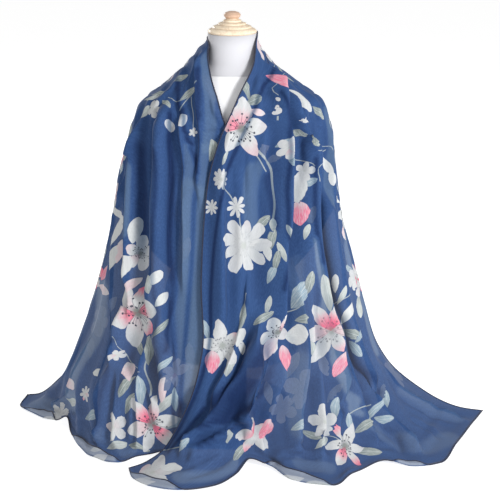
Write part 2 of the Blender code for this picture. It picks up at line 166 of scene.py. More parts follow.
# The CAD's folds: their places across in percent, width and heights in millimetres. "lean" draws
# a fold's crest sideways over the trough beside it, towards the outer edge.
FOLD_COLUMNS = (
    "hem", "knee", "waist", "chest", "shoulder", "width", "low", "high", "top", "lean",
)
FOLD_SCALES = (*[PERCENT] * 5, *[MILLI] * 4, 1)
LEFT_FOLDS = columns(table("""
4 5 7 6 8 26 2 2 2 0
13 14 19 15 17 36 6 8 4 0.3
26 27 36 29 27 22 10 8 6 0.8
35 37 46 49 37 32 31 26 8 1.1
44 46 56 59 47 22 12 8 7 0.8
53 55 67 69 57 32 31 25 6 1.2
64 66 77 78 68 27 22 18 4 1
86 83 85 86 79 28 14 10 3 0.5
94 93 93 93 89 22 6 5 3 0.3
""", *FOLD_SCALES), FOLD_COLUMNS)
RIGHT_FOLDS = columns(table("""
3 7 7 6 8 24 8 4 2 0
8.5 16 18 16 17 34 30 18 4 0.6
16 26 33 31 26 26 28 20 6 1.1
35 41 46 47 38 34 32 28 8 0.9
46 52 57 59 47 22 14 8 7 0.9
57 62 67 69 57 32 31 26 6 1.2
69 72 76 78 68 27 22 18 4 0.8
80 82 84 86 79 28 14 10 3 0.5
93 92 93 93 89 22 6 5 3 0.3
""", *FOLD_SCALES), FOLD_COLUMNS)
BACK_SWAGS = columns(table("""
8 30 6 0.2
18 34 14 0.5
29 34 24 0.9
41 36 32 1
52 34 20 0.8
63 38 34 1
74 34 28 0.9
84 32 20 0.6
93 26 10 0.2
""", PERCENT, MILLI, MILLI, 1), ("centre", "width", "depth", "lean"))
FOLD_PLACES = (0, 1, 3, 6, 8, 12)
LEAN_SHARES = (0.0, 0.2, 0.7, 1.0, 0.8, 0.3)
OVERLAP_SHARE = 0.45
UNDERLAP_BEARING = -16.0
UNDERLAP_FADE = 14.0
HEM_SHARE = 0.15
BREAK_SHARE = 0.25
CHEST_SHARE = 0.6
STEEPEST = 1.12
BACK_STEEPER = 0.5  # the swags of the back may be this much steeper
LEAST_RISE = 0.1
EDGE_FADE = 0.035
NORMAL_STEP = 0.004

# The folds that the photograph shows. Each lies along a few of its pixels: with 1 or -1 after
# them these are the edge where the fold hangs over the cloth beside it, towards the scarf's outer
# or inner edge, and with 0 they are the middle of a fold that hangs over on both sides. Then come
# half width, height and reach to the side, in millimetres.
TUCKS = drawn("""
164 122 160 200 161 270 164 330 171 378: 0 11 36 8
133 152 123 185 114 215 112 290 109 350 98 392: 1 12 7 20
136 140 132 200 130 262 134 300: 1 12 26 20
199 66 199 120 198 176: 1 10 14 10
277 84 284 111 289 140 287 222 281 256 281 312: 1 14 34 28
296 108 302 123 314 156 315 231 320 268 331 330 343 376: 1 13 28 24
325 215 338 290 350 330 366 376: 0 11 26 10
263 150 268 220 266 290: 1 12 14 8
248 338 238 370 216 404 186 436: -1 12 22 20
262 378 246 404 224 430 196 446: -1 12 16 12
300 312 305 370 301 436: 1 12 24 16
326 350 336 396 338 440: 1 12 16 12
262 330 262 376 250 420: 1 13 20 12
143 372 140 410 136 446: 1 11 18 12
122 330 118 390 114 436: 1 10 14 10
182 132 184 200 184 260: 1 10 16 10
112 372 104 400 96 436: 1 11 16 12
366 392 386 412 414 440: 1 12 18 12
394 382 420 400 452 414: 1 10 12 9
224 150 222 215 224 300: 1 14 18 10
246 300 232 352 214 392: -1 10 12 12
284 380 272 412 262 440: 1 10 13 10
318 372 322 410 322 446: 1 9 11 8
348 372 360 402 374 436: 1 10 13 10
330 140 334 200 342 250: 1 9 10 10
306 250 309 300 312 350: 1 10 12 10
126 300 124 340 128 380: 1 9 11 9
152 300 150 350 154 400: 1 9 12 9
80 360 70 384 54 402: 1 10 10 9
""", 1, MILLI, MILLI, MILLI)
TUCK_FADE = 0.8  # stations over which a fold dies out at each end
BASE_FOLDS = 0.5  # of the CAD's lengthwise folds, which the ones above stand on
BULB = 2.33  # one over the greatest value of t * exp(-t * t)

# Painted light and shade on the sheer cloth. Stretches with amounts above 0 get painted light,
# paler where light shows through the cloth in one layer; those below 0 get painted shade along the
# folds' dark gaps and under their overhangs: a few pixels along each stretch, its half width in
# millimetres and how strong it is.
PAINTED_LIGHT_AND_SHADE = drawn("""
207 56 208 84 211 120 208 150: 13 0.8
204 150 201 190: 17 0.6
190 150 190 182: 11 0.6
191 196 190 240 189 300 190 392: 34 0.95
125 168 124 200 121 232: 11 0.9
100 290 88 340 66 392: 28 0.85
254 170 252 236: 17 0.7
333 108 335 150 336 203: 10 0.8
345 216 350 250 356 275: 14 0.8
317 240 320 264 326 300: 7 1
328 300 332 330 344 376 356 412: 13 0.9
362 290 369 320 378 350: 12 0.8
297 366 301 396 302 424: 32 0.4
34 402 52 408 72 404: 26 0.6
96 430 110 444 130 452: 18 0.35
180 476 210 474 236 462: 16 0.6
300 462 330 466: 16 0.4
380 430 420 440 452 436: 22 0.4
404 392 430 408 456 416: 20 0.35
296 262 298 300 296 330: 18 0.3
170 112 171 200 170 262 168 350: 9 -0.9
140 150 140 250: 18 -0.7
151 150 151 262 153 340 160 376: 6 -0.8
198 70 198 116: 8 -0.9
198 116 197 172: 5 -0.8
268 176 272 200 276 226: 9 -0.8
280 92 291 130 291 164 289 222 284 290: 6 -0.9
317 160 318 231 323 264: 6 -0.9
176 384 180 398 190 405 204 406: 5 -1
247 343 236 371 210 403: 6 -0.9
264 352 244 388 216 412: 24 -0.85
262 362 250 382 236 400: 12 -0.7
270 374 250 402 226 420 200 427: 13 -0.9
236 418 218 434 198 446: 8 -0.8
342 320 360 368 380 392: 12 -0.6
114 340 104 386 92 430: 8 -0.7
274 320 272 360: 12 -0.5
""", MILLI, 1)
PAINTED_LIGHT_CRISP = 7.0  # how sharply a stretch of painted light ends
# how sharply a stretch of painted shade ends
PAINTED_SHADE_CRISP = 2.5

# Small creases: a few pixels along each, half width in tenths of a millimetre, and depth.
CREASES = drawn("""
208 96 212 116 225 130: 35 4
186 100 184 160 181 216: 50 5
143 150 141 200 138 262: 45 4
244 150 246 210 248 280: 60 5
298 90 300 140 300 190: 50 5
270 330 268 372 250 412: 60 7
330 368 340 400 352 425: 60 6
180 478 214 468 238 452: 50 5
160 470 190 466 220 452: 40 4
274 462 300 456 336 462: 45 5
280 444 310 446 340 452: 45 4
400 396 430 412 456 420: 50 5
366 420 392 436 404 456: 50 5
70 372 60 398 52 412: 50 4
84 420 98 440 120 450: 50 5
40 402 60 410 84 412: 40 3
128 380 124 420 122 446: 50 5
205 130 216 129 226 132: 32 4
203 142 214 138 224 138: 35 3
256 70 250 92 244 112: 40 3
262 64 268 90 272 116: 45 4
168 84 176 110 178 140: 45 4
150 96 152 120 150 148: 45 4
310 88 318 112 322 140: 45 4
200 456 216 446 236 438: 45 5
188 462 206 458 226 448: 40 4
352 436 376 446 398 448: 45 4
408 416 428 428 444 440: 50 5
296 430 318 434 336 434: 45 4
88 436 104 450 122 456: 40 4
""", 10 * MILLI, MILLI)
CREASE_ROWS = 20  # rows of the cloth past a crease's ends that it may reach
CREASE_FADE = 0.25  # of its length over which it fades at each end
RIM_SHARE = 0.55  # the raised rim beside a crease: its height, distance and width
RIM_AWAY = 2.6
RIM_WIDTH = 1.5

ACROSS = 262
ALONG = 360
ROUGH_ALONG = 600
RIPPLE_SEED = 11
RIPPLE_WAVES = 22
RIPPLE = 0.006
CRINKLE_WAVES = 30
CRINKLE = 0.0036
CALM_EDGE = 0.03


# ---------------------------------------------------------------- the cloth's smooth shape

def smooth_lookup(x, knots, values):
    """Read a table along a smooth curve through its rows that never overshoots them."""
    x = np.clip(np.asarray(x, dtype=float), knots[0], knots[-1])
    step = np.diff(knots)
    slope = np.diff(values) / step
    tangent = np.zeros(len(knots))
    tangent[0] = slope[0]
    tangent[-1] = slope[-1]
    for k in range(1, len(knots) - 1):
        if slope[k - 1] * slope[k] > 0:
            tangent[k] = 2 * slope[k - 1] * slope[k] / (slope[k - 1] + slope[k])
    k = np.clip(np.searchsorted(knots, x, side="right") - 1, 0, len(step) - 1)
    t = (x - knots[k]) / step[k]
    return (
        (2 * t**3 - 3 * t**2 + 1) * values[k]
        + (t**3 - 2 * t**2 + t) * step[k] * tangent[k]
        + (3 * t**2 - 2 * t**3) * values[k + 1]
        + (t**3 - t**2) * step[k] * tangent[k + 1]
    )


def smooth_step(t):
    """From 0 to 1 as t goes from 0 to 1, level at both ends."""
    t = np.clip(t, 0.0, 1.0)
    return t * t * (3 - 2 * t)


def unit(vectors):
    """The same directions with a length of one."""
    return vectors / np.maximum(np.linalg.norm(vectors, axis=-1, keepdims=True), 1e-12)


def hull_point(place):
    """Points on the hull, from bearings in degrees, heights and ways out from the hull."""
    bearing, height, away = np.moveaxis(place, -1, 0)
    size = {name: smooth_lookup(height, HULL["height"], HULL[name]) for name in HULL_COLUMNS}
    angle = np.radians(bearing)
    side = np.where(np.sin(angle) < 0, size["left"], size["right"]) + away
    depth = np.where(np.cos(angle) > 0, size["front"], size["back"]) + away
    return np.stack([side * np.sin(angle), -depth * np.cos(angle), height], axis=-1)


def hung_station(station, u, turn=0.0):
    """Bearing, height and way out of the hull for the points of one station."""
    bearing_in, height_in, bearing_out, height_out, bow, gather, over = station
    bearing = bearing_in + (bearing_out - bearing_in) * u**gather - turn
    height = height_in + (height_out - height_in) * u**bow
    return np.stack([bearing, height, over * (1 - smooth_step(u / OVERLAP_SHARE))], axis=-1)


def back_stations(u):
    """The stations round the back, from shoulder to shoulder."""
    left_in, left_high, left_out, left_low, bow, gather, over = LEFT_STATIONS[-1]
    right_in, right_high, right_out, right_low, *_ = RIGHT_STATIONS[0]
    stations = []
    for k in range(1, BACK_COUNT + 1):
        t = k / (BACK_COUNT + 1)
        dip = math.sin(math.pi * t) ** BACK_DIP_POWER
        stations.append(hung_station((
            left_in + (right_in - 360 - left_in) * t,
            left_high + (right_high - left_high) * t,
            left_out + (right_out - 360 - left_out) * t,
            left_low + (right_low - left_low) * t - BACK_DIP * dip,
            bow + (1 - bow) * dip,
            gather,
            over,
        ), u))
    return stations


def hung_stations(u):
    """Every station of the hanging cloth, from the left knee round the back to the right one."""
    left = [hung_station(row, u) for row in LEFT_STATIONS]
    right = [hung_station(row, u, turn=360.0) for row in RIGHT_STATIONS]
    return np.array(left + back_stations(u) + right)


def floor_stations(hem, knee, u):
    """The stations on the floor, from the hem back to where the cloth rises to the knee."""
    x, y, lift = (smooth_lookup(u, hem["u"], hem[name]) for name in ("x", "y", "lift"))
    stations = []
    for step, rise in zip(FLOOR_STEPS, FLOOR_RISE):
        place = np.stack([x, y, np.zeros_like(u)], axis=-1) * (1 - step) + knee * step
        place[:, 2] = LIFT + rise + lift * (1 - step)
        stations.append(place)
    return stations


PANEL_COUNT = len(FLOOR_STEPS) + len(LEFT_STATIONS)
KNEE = len(FLOOR_STEPS)
LEFT_SHOULDER = PANEL_COUNT - 1
RIGHT_SHOULDER = PANEL_COUNT + BACK_COUNT
LAST = RIGHT_SHOULDER + PANEL_COUNT - 1


def along(stations, v):
    """A smooth curve through the stations, read at each v."""
    count = len(stations)
    k = np.clip(np.floor(v).astype(int), 0, count - 2)
    t = (v - k)[:, None, None]
    before = stations[np.maximum(k - 1, 0)]
    start = stations[k]
    end = stations[k + 1]
    after = stations[np.minimum(k + 2, count - 1)]
    return start + 0.5 * t * (
        (end - before) + t * (2 * before - 5 * start + 4 * end - after
                              + t * (3 * (start - end) + after - before))
    )


def smooth_cloth(u, v):
    """The cloth before its folds: on its hull where it hangs, and eased down to its hems."""
    places = hung_stations(u)
    points = hull_point(places)
    left = floor_stations(LEFT_HEM, points[0], u)
    right = floor_stations(RIGHT_HEM, points[-1], u)[::-1]
    eased = along(np.array(left + list(points) + right), v)
    on_hull = hull_point(along(places, np.clip(v - KNEE, 0, LAST - 2 * KNEE)))
    share = smooth_step(np.minimum(v - KNEE, LAST - KNEE - v))[:, None, None]
    return eased * (1 - share) + on_hull * share


# ---------------------------------------------------------------- the camera of the photograph

CAMERA_PLACE = (0.0371, -2.676, 1.236)
CAMERA_PITCH = math.radians(17.76)
CAMERA_FOCUS = 1273.0  # in pixels of a frame 500 wide
FRAME_SIZE = 500
SENSOR = 36.0
SEEN_WITHIN = 2.5  # pixels within which a point counts as seen there
PIXEL_DEPTH = 0.002  # metres nearer to the camera that make up for one pixel off


def photo_pixel(points):
    """Column, row and distance of points as the photograph's camera sees them."""
    offset = points - np.array(CAMERA_PLACE)
    sine, cosine = math.sin(CAMERA_PITCH), math.cos(CAMERA_PITCH)
    depth = offset[..., 1] * cosine - offset[..., 2] * sine
    rise = offset[..., 1] * sine + offset[..., 2] * cosine
    column = FRAME_SIZE / 2 + CAMERA_FOCUS * offset[..., 0] / depth
    row = FRAME_SIZE / 2 - CAMERA_FOCUS * rise / depth
    return np.stack([column, row, depth], axis=-1)


def seen_place(seen, column, row):
    """Index of the cloth's point that the camera sees nearest to that pixel."""
    away = np.hypot(seen[..., 0] - column, seen[..., 1] - row)
    near = away < SEEN_WITHIN
    if not near.any():
        return np.unravel_index(np.argmin(away), away.shape)
    cost = np.where(near, seen[..., 2] + away * PIXEL_DEPTH, np.inf)
    return np.unravel_index(np.argmin(cost), cost.shape)


def curve_through(points, steps):
    """Points of a smooth curve through a few places, so many for each stretch."""
    points = np.array(points, dtype=float)
    if len(points) < 3:
        return np.array([points[0] + (points[-1] - points[0]) * t
                         for t in np.linspace(0, 1, steps)])
    padded = np.concatenate([[2 * points[0] - points[1]], points, [2 * points[-1] - points[-2]]])
    found = []
    for k in range(len(points) - 1):
        a, b, c, d = padded[k:k + 4]
        for t in np.linspace(0, 1, steps, endpoint=k == len(points) - 2):
            found.append(0.5 * (2 * b + (c - a) * t + (2 * a - 5 * b + 4 * c - d) * t**2
                                + (3 * b - 3 * c + d - a) * t**3))
    return np.array(found)


# ---------------------------------------------------------------- folds

def fold_rows(v):
    """Place, half width, depth and lean of each fold at each v."""
    ends = np.array(FOLD_PLACES)
    middle = (LEFT_SHOULDER + RIGHT_SHOULDER) / 2
    knots = np.concatenate([ends, [middle], LAST - ends[::-1]])
    found = []
    for k in range(len(LEFT_FOLDS["hem"])):
        parts = {"centre": [], "width": [], "depth": [], "lean": []}
        for side in (LEFT_FOLDS, RIGHT_FOLDS):
            hem, knee, waist, chest, shoulder, width, low, high, top, lean = (
                side[name][k] for name in FOLD_COLUMNS)
            parts["centre"].append([hem, (2 * hem + knee) / 3, knee, waist, chest, shoulder])
            parts["width"].append([width] * len(ends))
            parts["depth"].append(
                [low * HEM_SHARE, low * BREAK_SHARE, low, high, high * CHEST_SHARE, top])
            parts["lean"].append([share * lean for share in LEAN_SHARES])
        found.append([
            smooth_lookup(v, knots, np.array(left + [BACK_SWAGS[name][k]] + right[::-1]))
            for name, (left, right) in parts.items()
        ])
    return found


def tuck_line(seen, u, v, path):
    """Where a fold drawn in pixels runs across the cloth at each v, and how much of it is left."""
    places = sorted({seen_place(seen, *pixel) for pixel in path})
    at_v = np.array([v[i] for i, _ in places]) + np.arange(len(places)) * 1e-6
    at_u = np.array([u[j] for _, j in places])
    left = smooth_step((v - at_v[0]) / TUCK_FADE + 1) * smooth_step((at_v[-1] - v) / TUCK_FADE + 1)
    return smooth_lookup(v, at_v, at_u), left


def fold_push(u, v, base):
    """How far the cloth stands out from the hull, and how far it leans to its outer edge."""
    stands = np.zeros((len(v), len(u)))
    sideways = np.zeros_like(stands)
    length = np.linalg.norm(np.gradient(base, u, axis=1), axis=-1)
    on_back = smooth_step(np.minimum(v - LEFT_SHOULDER, RIGHT_SHOULDER - v) / 2)[:, None]
    for centre, width, depth, lean in fold_rows(v):
        t = (u[None, :] - centre[:, None]) / width[:, None]
        most = STEEPEST * width[:, None] * length * (1 + BACK_STEEPER * on_back)
        height = (depth[:, None] ** -4 + most**-4) ** -0.25 * np.exp(-t * t)
        height *= BASE_FOLDS + (1 - BASE_FOLDS) * on_back
        stands += height
        sideways += height * lean[:, None] * on_back
    seen = photo_pixel(base)
    for path, over, width, height, reach in TUCKS:
        line, left = tuck_line(seen, u, v, path)
        scale = np.array([np.interp(c, u, row) for c, row in zip(line, length)])
        centre = line - over * reach / scale
        t = (u[None, :] - centre[:, None]) * scale[:, None] / width
        bell = np.exp(-t * t) * left[:, None]
        stands += height * bell
        sideways += reach * bell * (over if over else BULB * t)
    fade = (smooth_step(u / EDGE_FADE) * smooth_step((1 - u) / EDGE_FADE))[None, :]
    bearing = np.degrees(np.arctan2(base[..., 0], -base[..., 1]))
    under = smooth_step((bearing - UNDERLAP_BEARING) / UNDERLAP_FADE + 1)
    left = (v < LEFT_SHOULDER - 3)[:, None]
    fade = fade * np.where(left, 1 - under, 1.0)
    return stands * fade, sideways * fade


def folded_cloth(u, v):
    """The cloth with its folds, the smooth cloth under them and how far they stand out."""
    base = smooth_cloth(u, v)
    step = NORMAL_STEP
    across = (smooth_cloth(np.minimum(u + step, 1), v)
              - smooth_cloth(np.maximum(u - step, 0), v))
    down = (smooth_cloth(u, np.minimum(v + step, LAST))
            - smooth_cloth(u, np.maximum(v - step, 0)))
    outward = unit(np.cross(down, across))
    outward[..., 2] = np.maximum(outward[..., 2], LEAST_RISE)
    stands, sideways = fold_push(u, v, base)
    grid = base + outward * stands[..., None] + unit(across) * sideways[..., None]
    grid[..., 2] = np.maximum(grid[..., 2], LIFT)
    return grid, base, stands


# ---------------------------------------------------------------- creases and ripples

def ripples(rng, u, v, length):
    """Small uneven waves of limp voile, longer along the cloth than across it."""
    total = np.zeros((len(v), len(u)))
    for _ in range(RIPPLE_WAVES):
        waves = rng.uniform(6, 24)
        drift = rng.uniform(-0.9, 0.9)
        slow = rng.uniform(0.15, 0.7)
        phase, shift = rng.uniform(0, 2 * math.pi, 2)
        where = u[None, :] * waves * 2 * math.pi + v[:, None] * drift + phase
        swell = 0.5 + 0.5 * np.sin(v[:, None] * slow + u[None, :] * 3 * drift + shift)
        total += np.sin(where) * swell / waves
    return total * length


def crinkle(rng, u, v):
    """Short creases that run across the cloth, as where it has slumped on the floor."""
    total = np.zeros((len(v), len(u)))
    for _ in range(CRINKLE_WAVES):
        along_v = rng.uniform(4, 13)
        along_u = rng.uniform(-26, 26)
        shift = rng.uniform(0, 2 * math.pi, 3)
        bend = np.sin(u[None, :] * rng.uniform(5, 12) + shift[0])
        patch = smooth_step(np.sin(u[None, :] * rng.uniform(6, 20) + v[:, None] * rng.uniform(1, 3)
                                   + shift[1]))
        total += patch * np.sin(v[:, None] * along_v + u[None, :] * along_u + bend + shift[2])
    return total / CRINKLE_WAVES**0.5


def add_creases(grid, base, outward):
    """Press each crease's trough into the cloth, on the layer that the camera sees there."""
    seen = photo_pixel(grid)
    for path, width, depth in CREASES:
        places = [seen_place(seen, *pixel) for pixel in path]
        used = [place[0] for place in places]
        low, high = max(min(used) - CREASE_ROWS, 0), min(max(used) + CREASE_ROWS, len(grid))
        line = curve_through([base[place] for place in places], 14)
        tree = kdtree.KDTree(len(line))
        for k, point in enumerate(line):
            tree.insert(point, k)
        tree.balance()
        part = base[low:high]
        near = np.array([tree.find(point)[1:] for point in part.reshape(-1, 3)])
        away = near[:, 1].reshape(part.shape[:2])
        place = near[:, 0].reshape(part.shape[:2]) / (len(line) - 1)
        fade = smooth_step(place / CREASE_FADE) * smooth_step((1 - place) / CREASE_FADE)
        rim = np.exp(-(((away - RIM_AWAY * width) / (RIM_WIDTH * width)) ** 2))
        trough = np.exp(-((away / width) ** 2)) - RIM_SHARE * rim
        grid[low:high] -= outward[low:high] * (trough * fade * depth)[..., None]


def main_cloth():
    """The whole scarf's points, with the smooth cloth under them and its u and v."""
    u = np.linspace(0, 1, ACROSS + 1)
    v_rough = np.linspace(0, LAST, ROUGH_ALONG)
    middle = smooth_cloth(np.array([0.45, 0.5, 0.55]), v_rough)[:, 1]
    way = np.concatenate([[0], np.cumsum(np.linalg.norm(np.diff(middle, axis=0), axis=-1))])
    v = np.interp(np.linspace(0, way[-1], ALONG + 1), way, v_rough)
    grid, base, stands = folded_cloth(u, v)
    outward = unit(np.cross(np.gradient(grid, axis=0), np.gradient(grid, axis=1)))
    add_creases(grid, base, outward)
    rng = np.random.default_rng(RIPPLE_SEED)
    length = np.linalg.norm(np.gradient(base, u, axis=1), axis=-1)
    edge = (smooth_step(u / CALM_EDGE) * smooth_step((1 - u) / CALM_EDGE))[None, :]
    ends = smooth_step(np.minimum(v, LAST - v) / 1.0)[:, None]
    shoulder = smooth_step(np.minimum(v - 8, LAST - 8 - v) / 2)[:, None]
    calm = edge * (0.3 + 0.7 * ends) * (1 - 0.7 * shoulder)
    grid += outward * (ripples(rng, u, v, length) * RIPPLE * calm)[..., None]
    slumped = smooth_step((3.2 - np.minimum(v, LAST - v)) / 2)[:, None]
    grid += outward * (crinkle(rng, u, v) * CRINKLE * edge * (0.15 + 0.85 * slumped))[..., None]
    grid[..., 2] = np.maximum(grid[..., 2], LIFT)
    return grid, base, stands, u, v


BODY_CLEAR = 0.0012
BODY_FOOT = 0.13
BODY_SIDE = 0.2
BODY_DEPTH = 0.15


def keep_clear(grid):
    """Keep the cloth outside the dress form's body."""
    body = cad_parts["form_body"]
    moved = grid.reshape(-1, 3)
    for k, point in enumerate(moved):
        if point[2] < BODY_FOOT or abs(point[0]) > BODY_SIDE or abs(point[1]) > BODY_DEPTH:
            continue
        found, place, normal, _ = body.closest_point_on_mesh(Vector(point))
        if found and (Vector(point) - place).dot(normal) < BODY_CLEAR:
            moved[k] = place + normal * BODY_CLEAR
    return moved.reshape(grid.shape)


# Where the cloth's ends are turned up and laid back over it, so that their pale underside shows:
# start and end of the stretch as a share of the width, and how far it is turned, in metres.
LEFT_TURNS = ((0.40, 0.70, 0.026), (0.83, 0.95, 0.020))
RIGHT_TURNS = ((0.012, 0.125, 0.024), (0.27, 0.50, 0.030), (0.70, 0.80, 0.014))
TURN_STEPS = 6
TURN_ROWS = 30  # rows of the cloth that a turned end may lie back over
TURN_HEIGHT = 0.0055
TURN_FADE = 0.35
LEAST_TURN = 0.0008
FULL_TURN = 0.012  # from this width a turned end stands at its full height
SHOWN_FROM, SHOWN_OVER = 0.004, 0.008  # widths over which the underside begins to show
STRIP_STEP = 0.01  # stations that each row of the strip counts for


def turned_edge(rows, u, turns):
    """The strip past one hem, laid back over the cloth, and how far each column is turned."""
    width = np.full(len(u), LEAST_TURN)
    for start, end, most in turns:
        t = np.clip((u - start) / (end - start), 0, 1)
        width += most * smooth_step(t / TURN_FADE) * smooth_step((1 - t) / TURN_FADE)
    steps = np.linalg.norm(np.diff(rows, axis=0), axis=-1)
    way = np.pad(np.cumsum(steps, axis=0), ((1, 0), (0, 0)))
    strip = []
    for step in range(1, TURN_STEPS + 1):
        t = step / TURN_STEPS
        row = np.array([
            [np.interp(width[j] * t, way[:, j], rows[:, j, k]) for k in range(3)]
            for j in range(len(u))
        ])
        rise = min(3 * t, 1) * (1.15 - 0.35 * t)
        row[:, 2] += TURN_HEIGHT * rise * smooth_step(width / FULL_TURN) + 0.0002 * t
        strip.append(row)
    return np.array(strip), smooth_step((width - SHOWN_FROM) / SHOWN_OVER)


def turn_ends(grid, base, stands, u, v):
    """The cloth with its ends turned up in places, and where its underside shows."""
    first, first_share = turned_edge(grid[:TURN_ROWS], u, LEFT_TURNS)
    last, last_share = turned_edge(grid[:-TURN_ROWS - 1:-1], u, RIGHT_TURNS)
    turned = np.concatenate([[first_share] * TURN_STEPS, np.zeros(grid.shape[:2]),
                             [last_share] * TURN_STEPS])
    past = np.arange(1, TURN_STEPS + 1) * STRIP_STEP
    grid = np.concatenate([first[::-1], grid, last])
    base = np.concatenate([first[::-1], base, last])
    stands = np.pad(stands, ((TURN_STEPS, TURN_STEPS), (0, 0)))
    v = np.concatenate([v[0] - past[::-1], v, v[-1] + past])
    return grid, base, stands, v, turned


# ---------------------------------------------------------------- the print's places

VALLEY = 12  # points across the cloth over which a valley counts as one
VALLEY_DEPTH = 0.012  # metres below its neighbours at which a valley's painted shade is darkest
WINDOW = 46  # rows of the cloth either side of a motif that it may reach
MOTIF_REACH = 1.7  # half sizes out from its middle that a motif may reach
STEM_FIELD = 0.007  # metres either side of a stem for which its place is kept
STEM_ROWS = 12
# rows of the cloth past a stretch of painted light or shade that it may reach
PAINTED_STRETCH_ROWS = 14
FAR = 9.0  # a place in a motif or from a line that nothing reaches

# Flowers: pixel of the photograph, radius in mm, turn in degrees, petals, gap between petals,
# pink share, stamens' share and seed.
BLOOM_SCALE = 1.2  # petals end short of the radius below
POINTED = (1, 8, 11, 13, 14, 16)  # seeds of the flowers with pointed petals
BLOOMS = table("""
241 128 58 10 5 0.5 0.3 0.9 1
221 181 20 0 10 0.35 0 0.5 2
236 207 20 10 8 0.75 0 0.2 3
211 207 16 0 8 0.7 0 0.2 4
246 245 52 0 9 0.4 0.05 0.4 5
137 312 66 20 6 0.45 0.75 1 6
140 254 36 90 5 0.45 0.05 0.8 7
152 424 64 15 6 0.6 0.5 0.8 8
112 428 30 40 5 0.5 0.05 0.3 9
152 470 42 0 5 0.45 0.1 0.4 10
223 345 50 30 5 0.6 0.4 0.6 11
279 333 44 60 5 0.55 0.35 0.9 12
331 332 60 0 6 0.55 0.55 0.6 13
256 434 42 30 5 0.55 0.6 0.3 14
326 420 34 10 5 0.5 0.1 0.4 15
346 446 52 40 6 0.65 0.35 0.8 16
288 150 24 0 5 0.45 0.15 0.3 17
303 172 20 0 5 0.5 0 0.3 18
304 123 8 0 5 0.6 0 0.1 19
181 119 12 0 1 0 0 0 20
172 125 11 0 1 0 0 0 21
193 133 9 0 5 0.6 0 0.1 22
152 108 20 0 5 0.5 0.05 0.3 23
84 392 16 0 7 0.6 0.2 0.3 24
117 356 18 0 5 0.5 0.05 0.3 25
58 412 26 20 5 0.6 0.05 0.3 26
356 280 22 0 4 0.5 0.05 0.2 27
277 99 5 0 1 0 0 0 28
277 105 5 0 1 0 0 0 29
277 113 8 0 1 0 0 0 30
""", *[1] * 9)

# Petals, leaves and buds by their tint: pixel, half length and half width in mm, turn in degrees
# and seed.
GREY_GREEN, BLUE_GREY, PALE, WHITE, PINK, BLUSH = TINTS = (
    (0.20, 0.24, 0.23), (0.22, 0.31, 0.38), (0.38, 0.42, 0.41), (0.53, 0.55, 0.55),
    (0.64, 0.17, 0.26), (0.60, 0.46, 0.49),
)
PETAL_RED = 0.5  # tints at least this red are painted as petals
LEAVES = {
    GREY_GREEN: """
254 100 18 11 20 2
213 150 26 9 80 3
271 240 26 9 60 5
276 262 24 8 70 7
318 142 26 9 -60 15
150 352 34 11 110 21
138 348 24 9 130 23
128 402 30 10 60 30
240 316 30 9 80 33
306 318 26 10 0 38
352 334 30 10 -30 45
368 450 30 11 -30 51
164 101 16 6 -20 56
188 94 22 7 50 57
233 62 18 6 90 58
246 88 26 8 110 62
262 222 22 9 40 64
300 132 26 9 -60 71
160 330 28 9 70 72
122 388 30 10 60 73
134 446 26 9 -20 77
262 318 26 9 30 82
310 284 26 10 70 85
364 424 30 10 10 89
312 436 24 9 -30 91
240 452 24 9 30 92
180 78 20 7 40 96
158 92 18 7 20 97
320 112 22 8 -50 99
""",
    BLUE_GREY: """
243 76 34 9 75 1
160 366 36 11 70 22
90 414 34 11 30 27
176 400 30 10 100 29
182 446 22 6 45 32
300 296 38 18 40 37
356 350 26 9 -55 46
300 425 26 10 20 48
376 409 30 11 30 49
384 420 26 9 -20 50
352 424 26 9 80 53
270 274 22 9 60 67
284 142 20 9 30 68
294 160 16 8 -30 69
307 184 20 8 20 70
140 392 34 11 100 74
174 424 30 10 20 76
206 328 22 8 110 80
362 336 20 8 40 87
336 408 26 10 60 88
386 398 24 8 50 90
""",
    PALE: """
228 158 18 6 60 4
281 250 22 8 100 6
306 232 18 7 60 10
290 232 18 6 110 11
147 284 24 12 120 61
70 402 30 9 15 28
116 446 30 9 20 31
228 366 26 15 80 36
328 294 42 12 100 42
344 296 22 7 60 47
325 440 24 9 30 52
150 96 20 8 30 55
272 224 14 8 80 65
164 404 34 11 50 75
100 446 22 8 10 78
268 304 20 7 80 83
314 352 22 9 100 84
232 434 22 9 60 93
142 478 24 9 -10 95
144 112 18 9 70 98
318 485 26 8 -5 104
""",
    WHITE: """
297 190 32 22 80 8
303 98 34 13 -55 13
326 166 26 7 -65 14
333 178 18 7 -80 16
115 232 38 15 82 17
109 258 42 18 72 105
121 268 30 20 74 18
137 232 30 17 92 59
158 277 18 16 90 19
163 299 20 14 60 20
95 371 18 8 20 25
243 349 16 9 90 34
296 336 26 22 0 39
350 312 26 14 60 44
266 252 18 10 100 66
240 336 22 12 60 81
334 284 20 9 80 86
170 466 26 10 10 94
98 457 34 9 -35 100
50 421 26 8 -10 101
142 480 26 10 -20 102
290 478 34 9 -20 103
""",
    PINK: """
299 214 26 22 90 9
284 78 44 11 -48 12
103 272 22 9 66 106
212 362 24 16 90 35
287 357 28 13 85 40
340 366 30 17 80 43
268 432 26 15 60 54
""",
    BLUSH: """
119 252 30 13 100 107
130 286 26 14 60 60
130 371 26 14 120 24
68 383 20 13 20 26
270 349 28 17 60 41
258 112 16 7 -20 63
160 392 32 11 80 79
""",
}

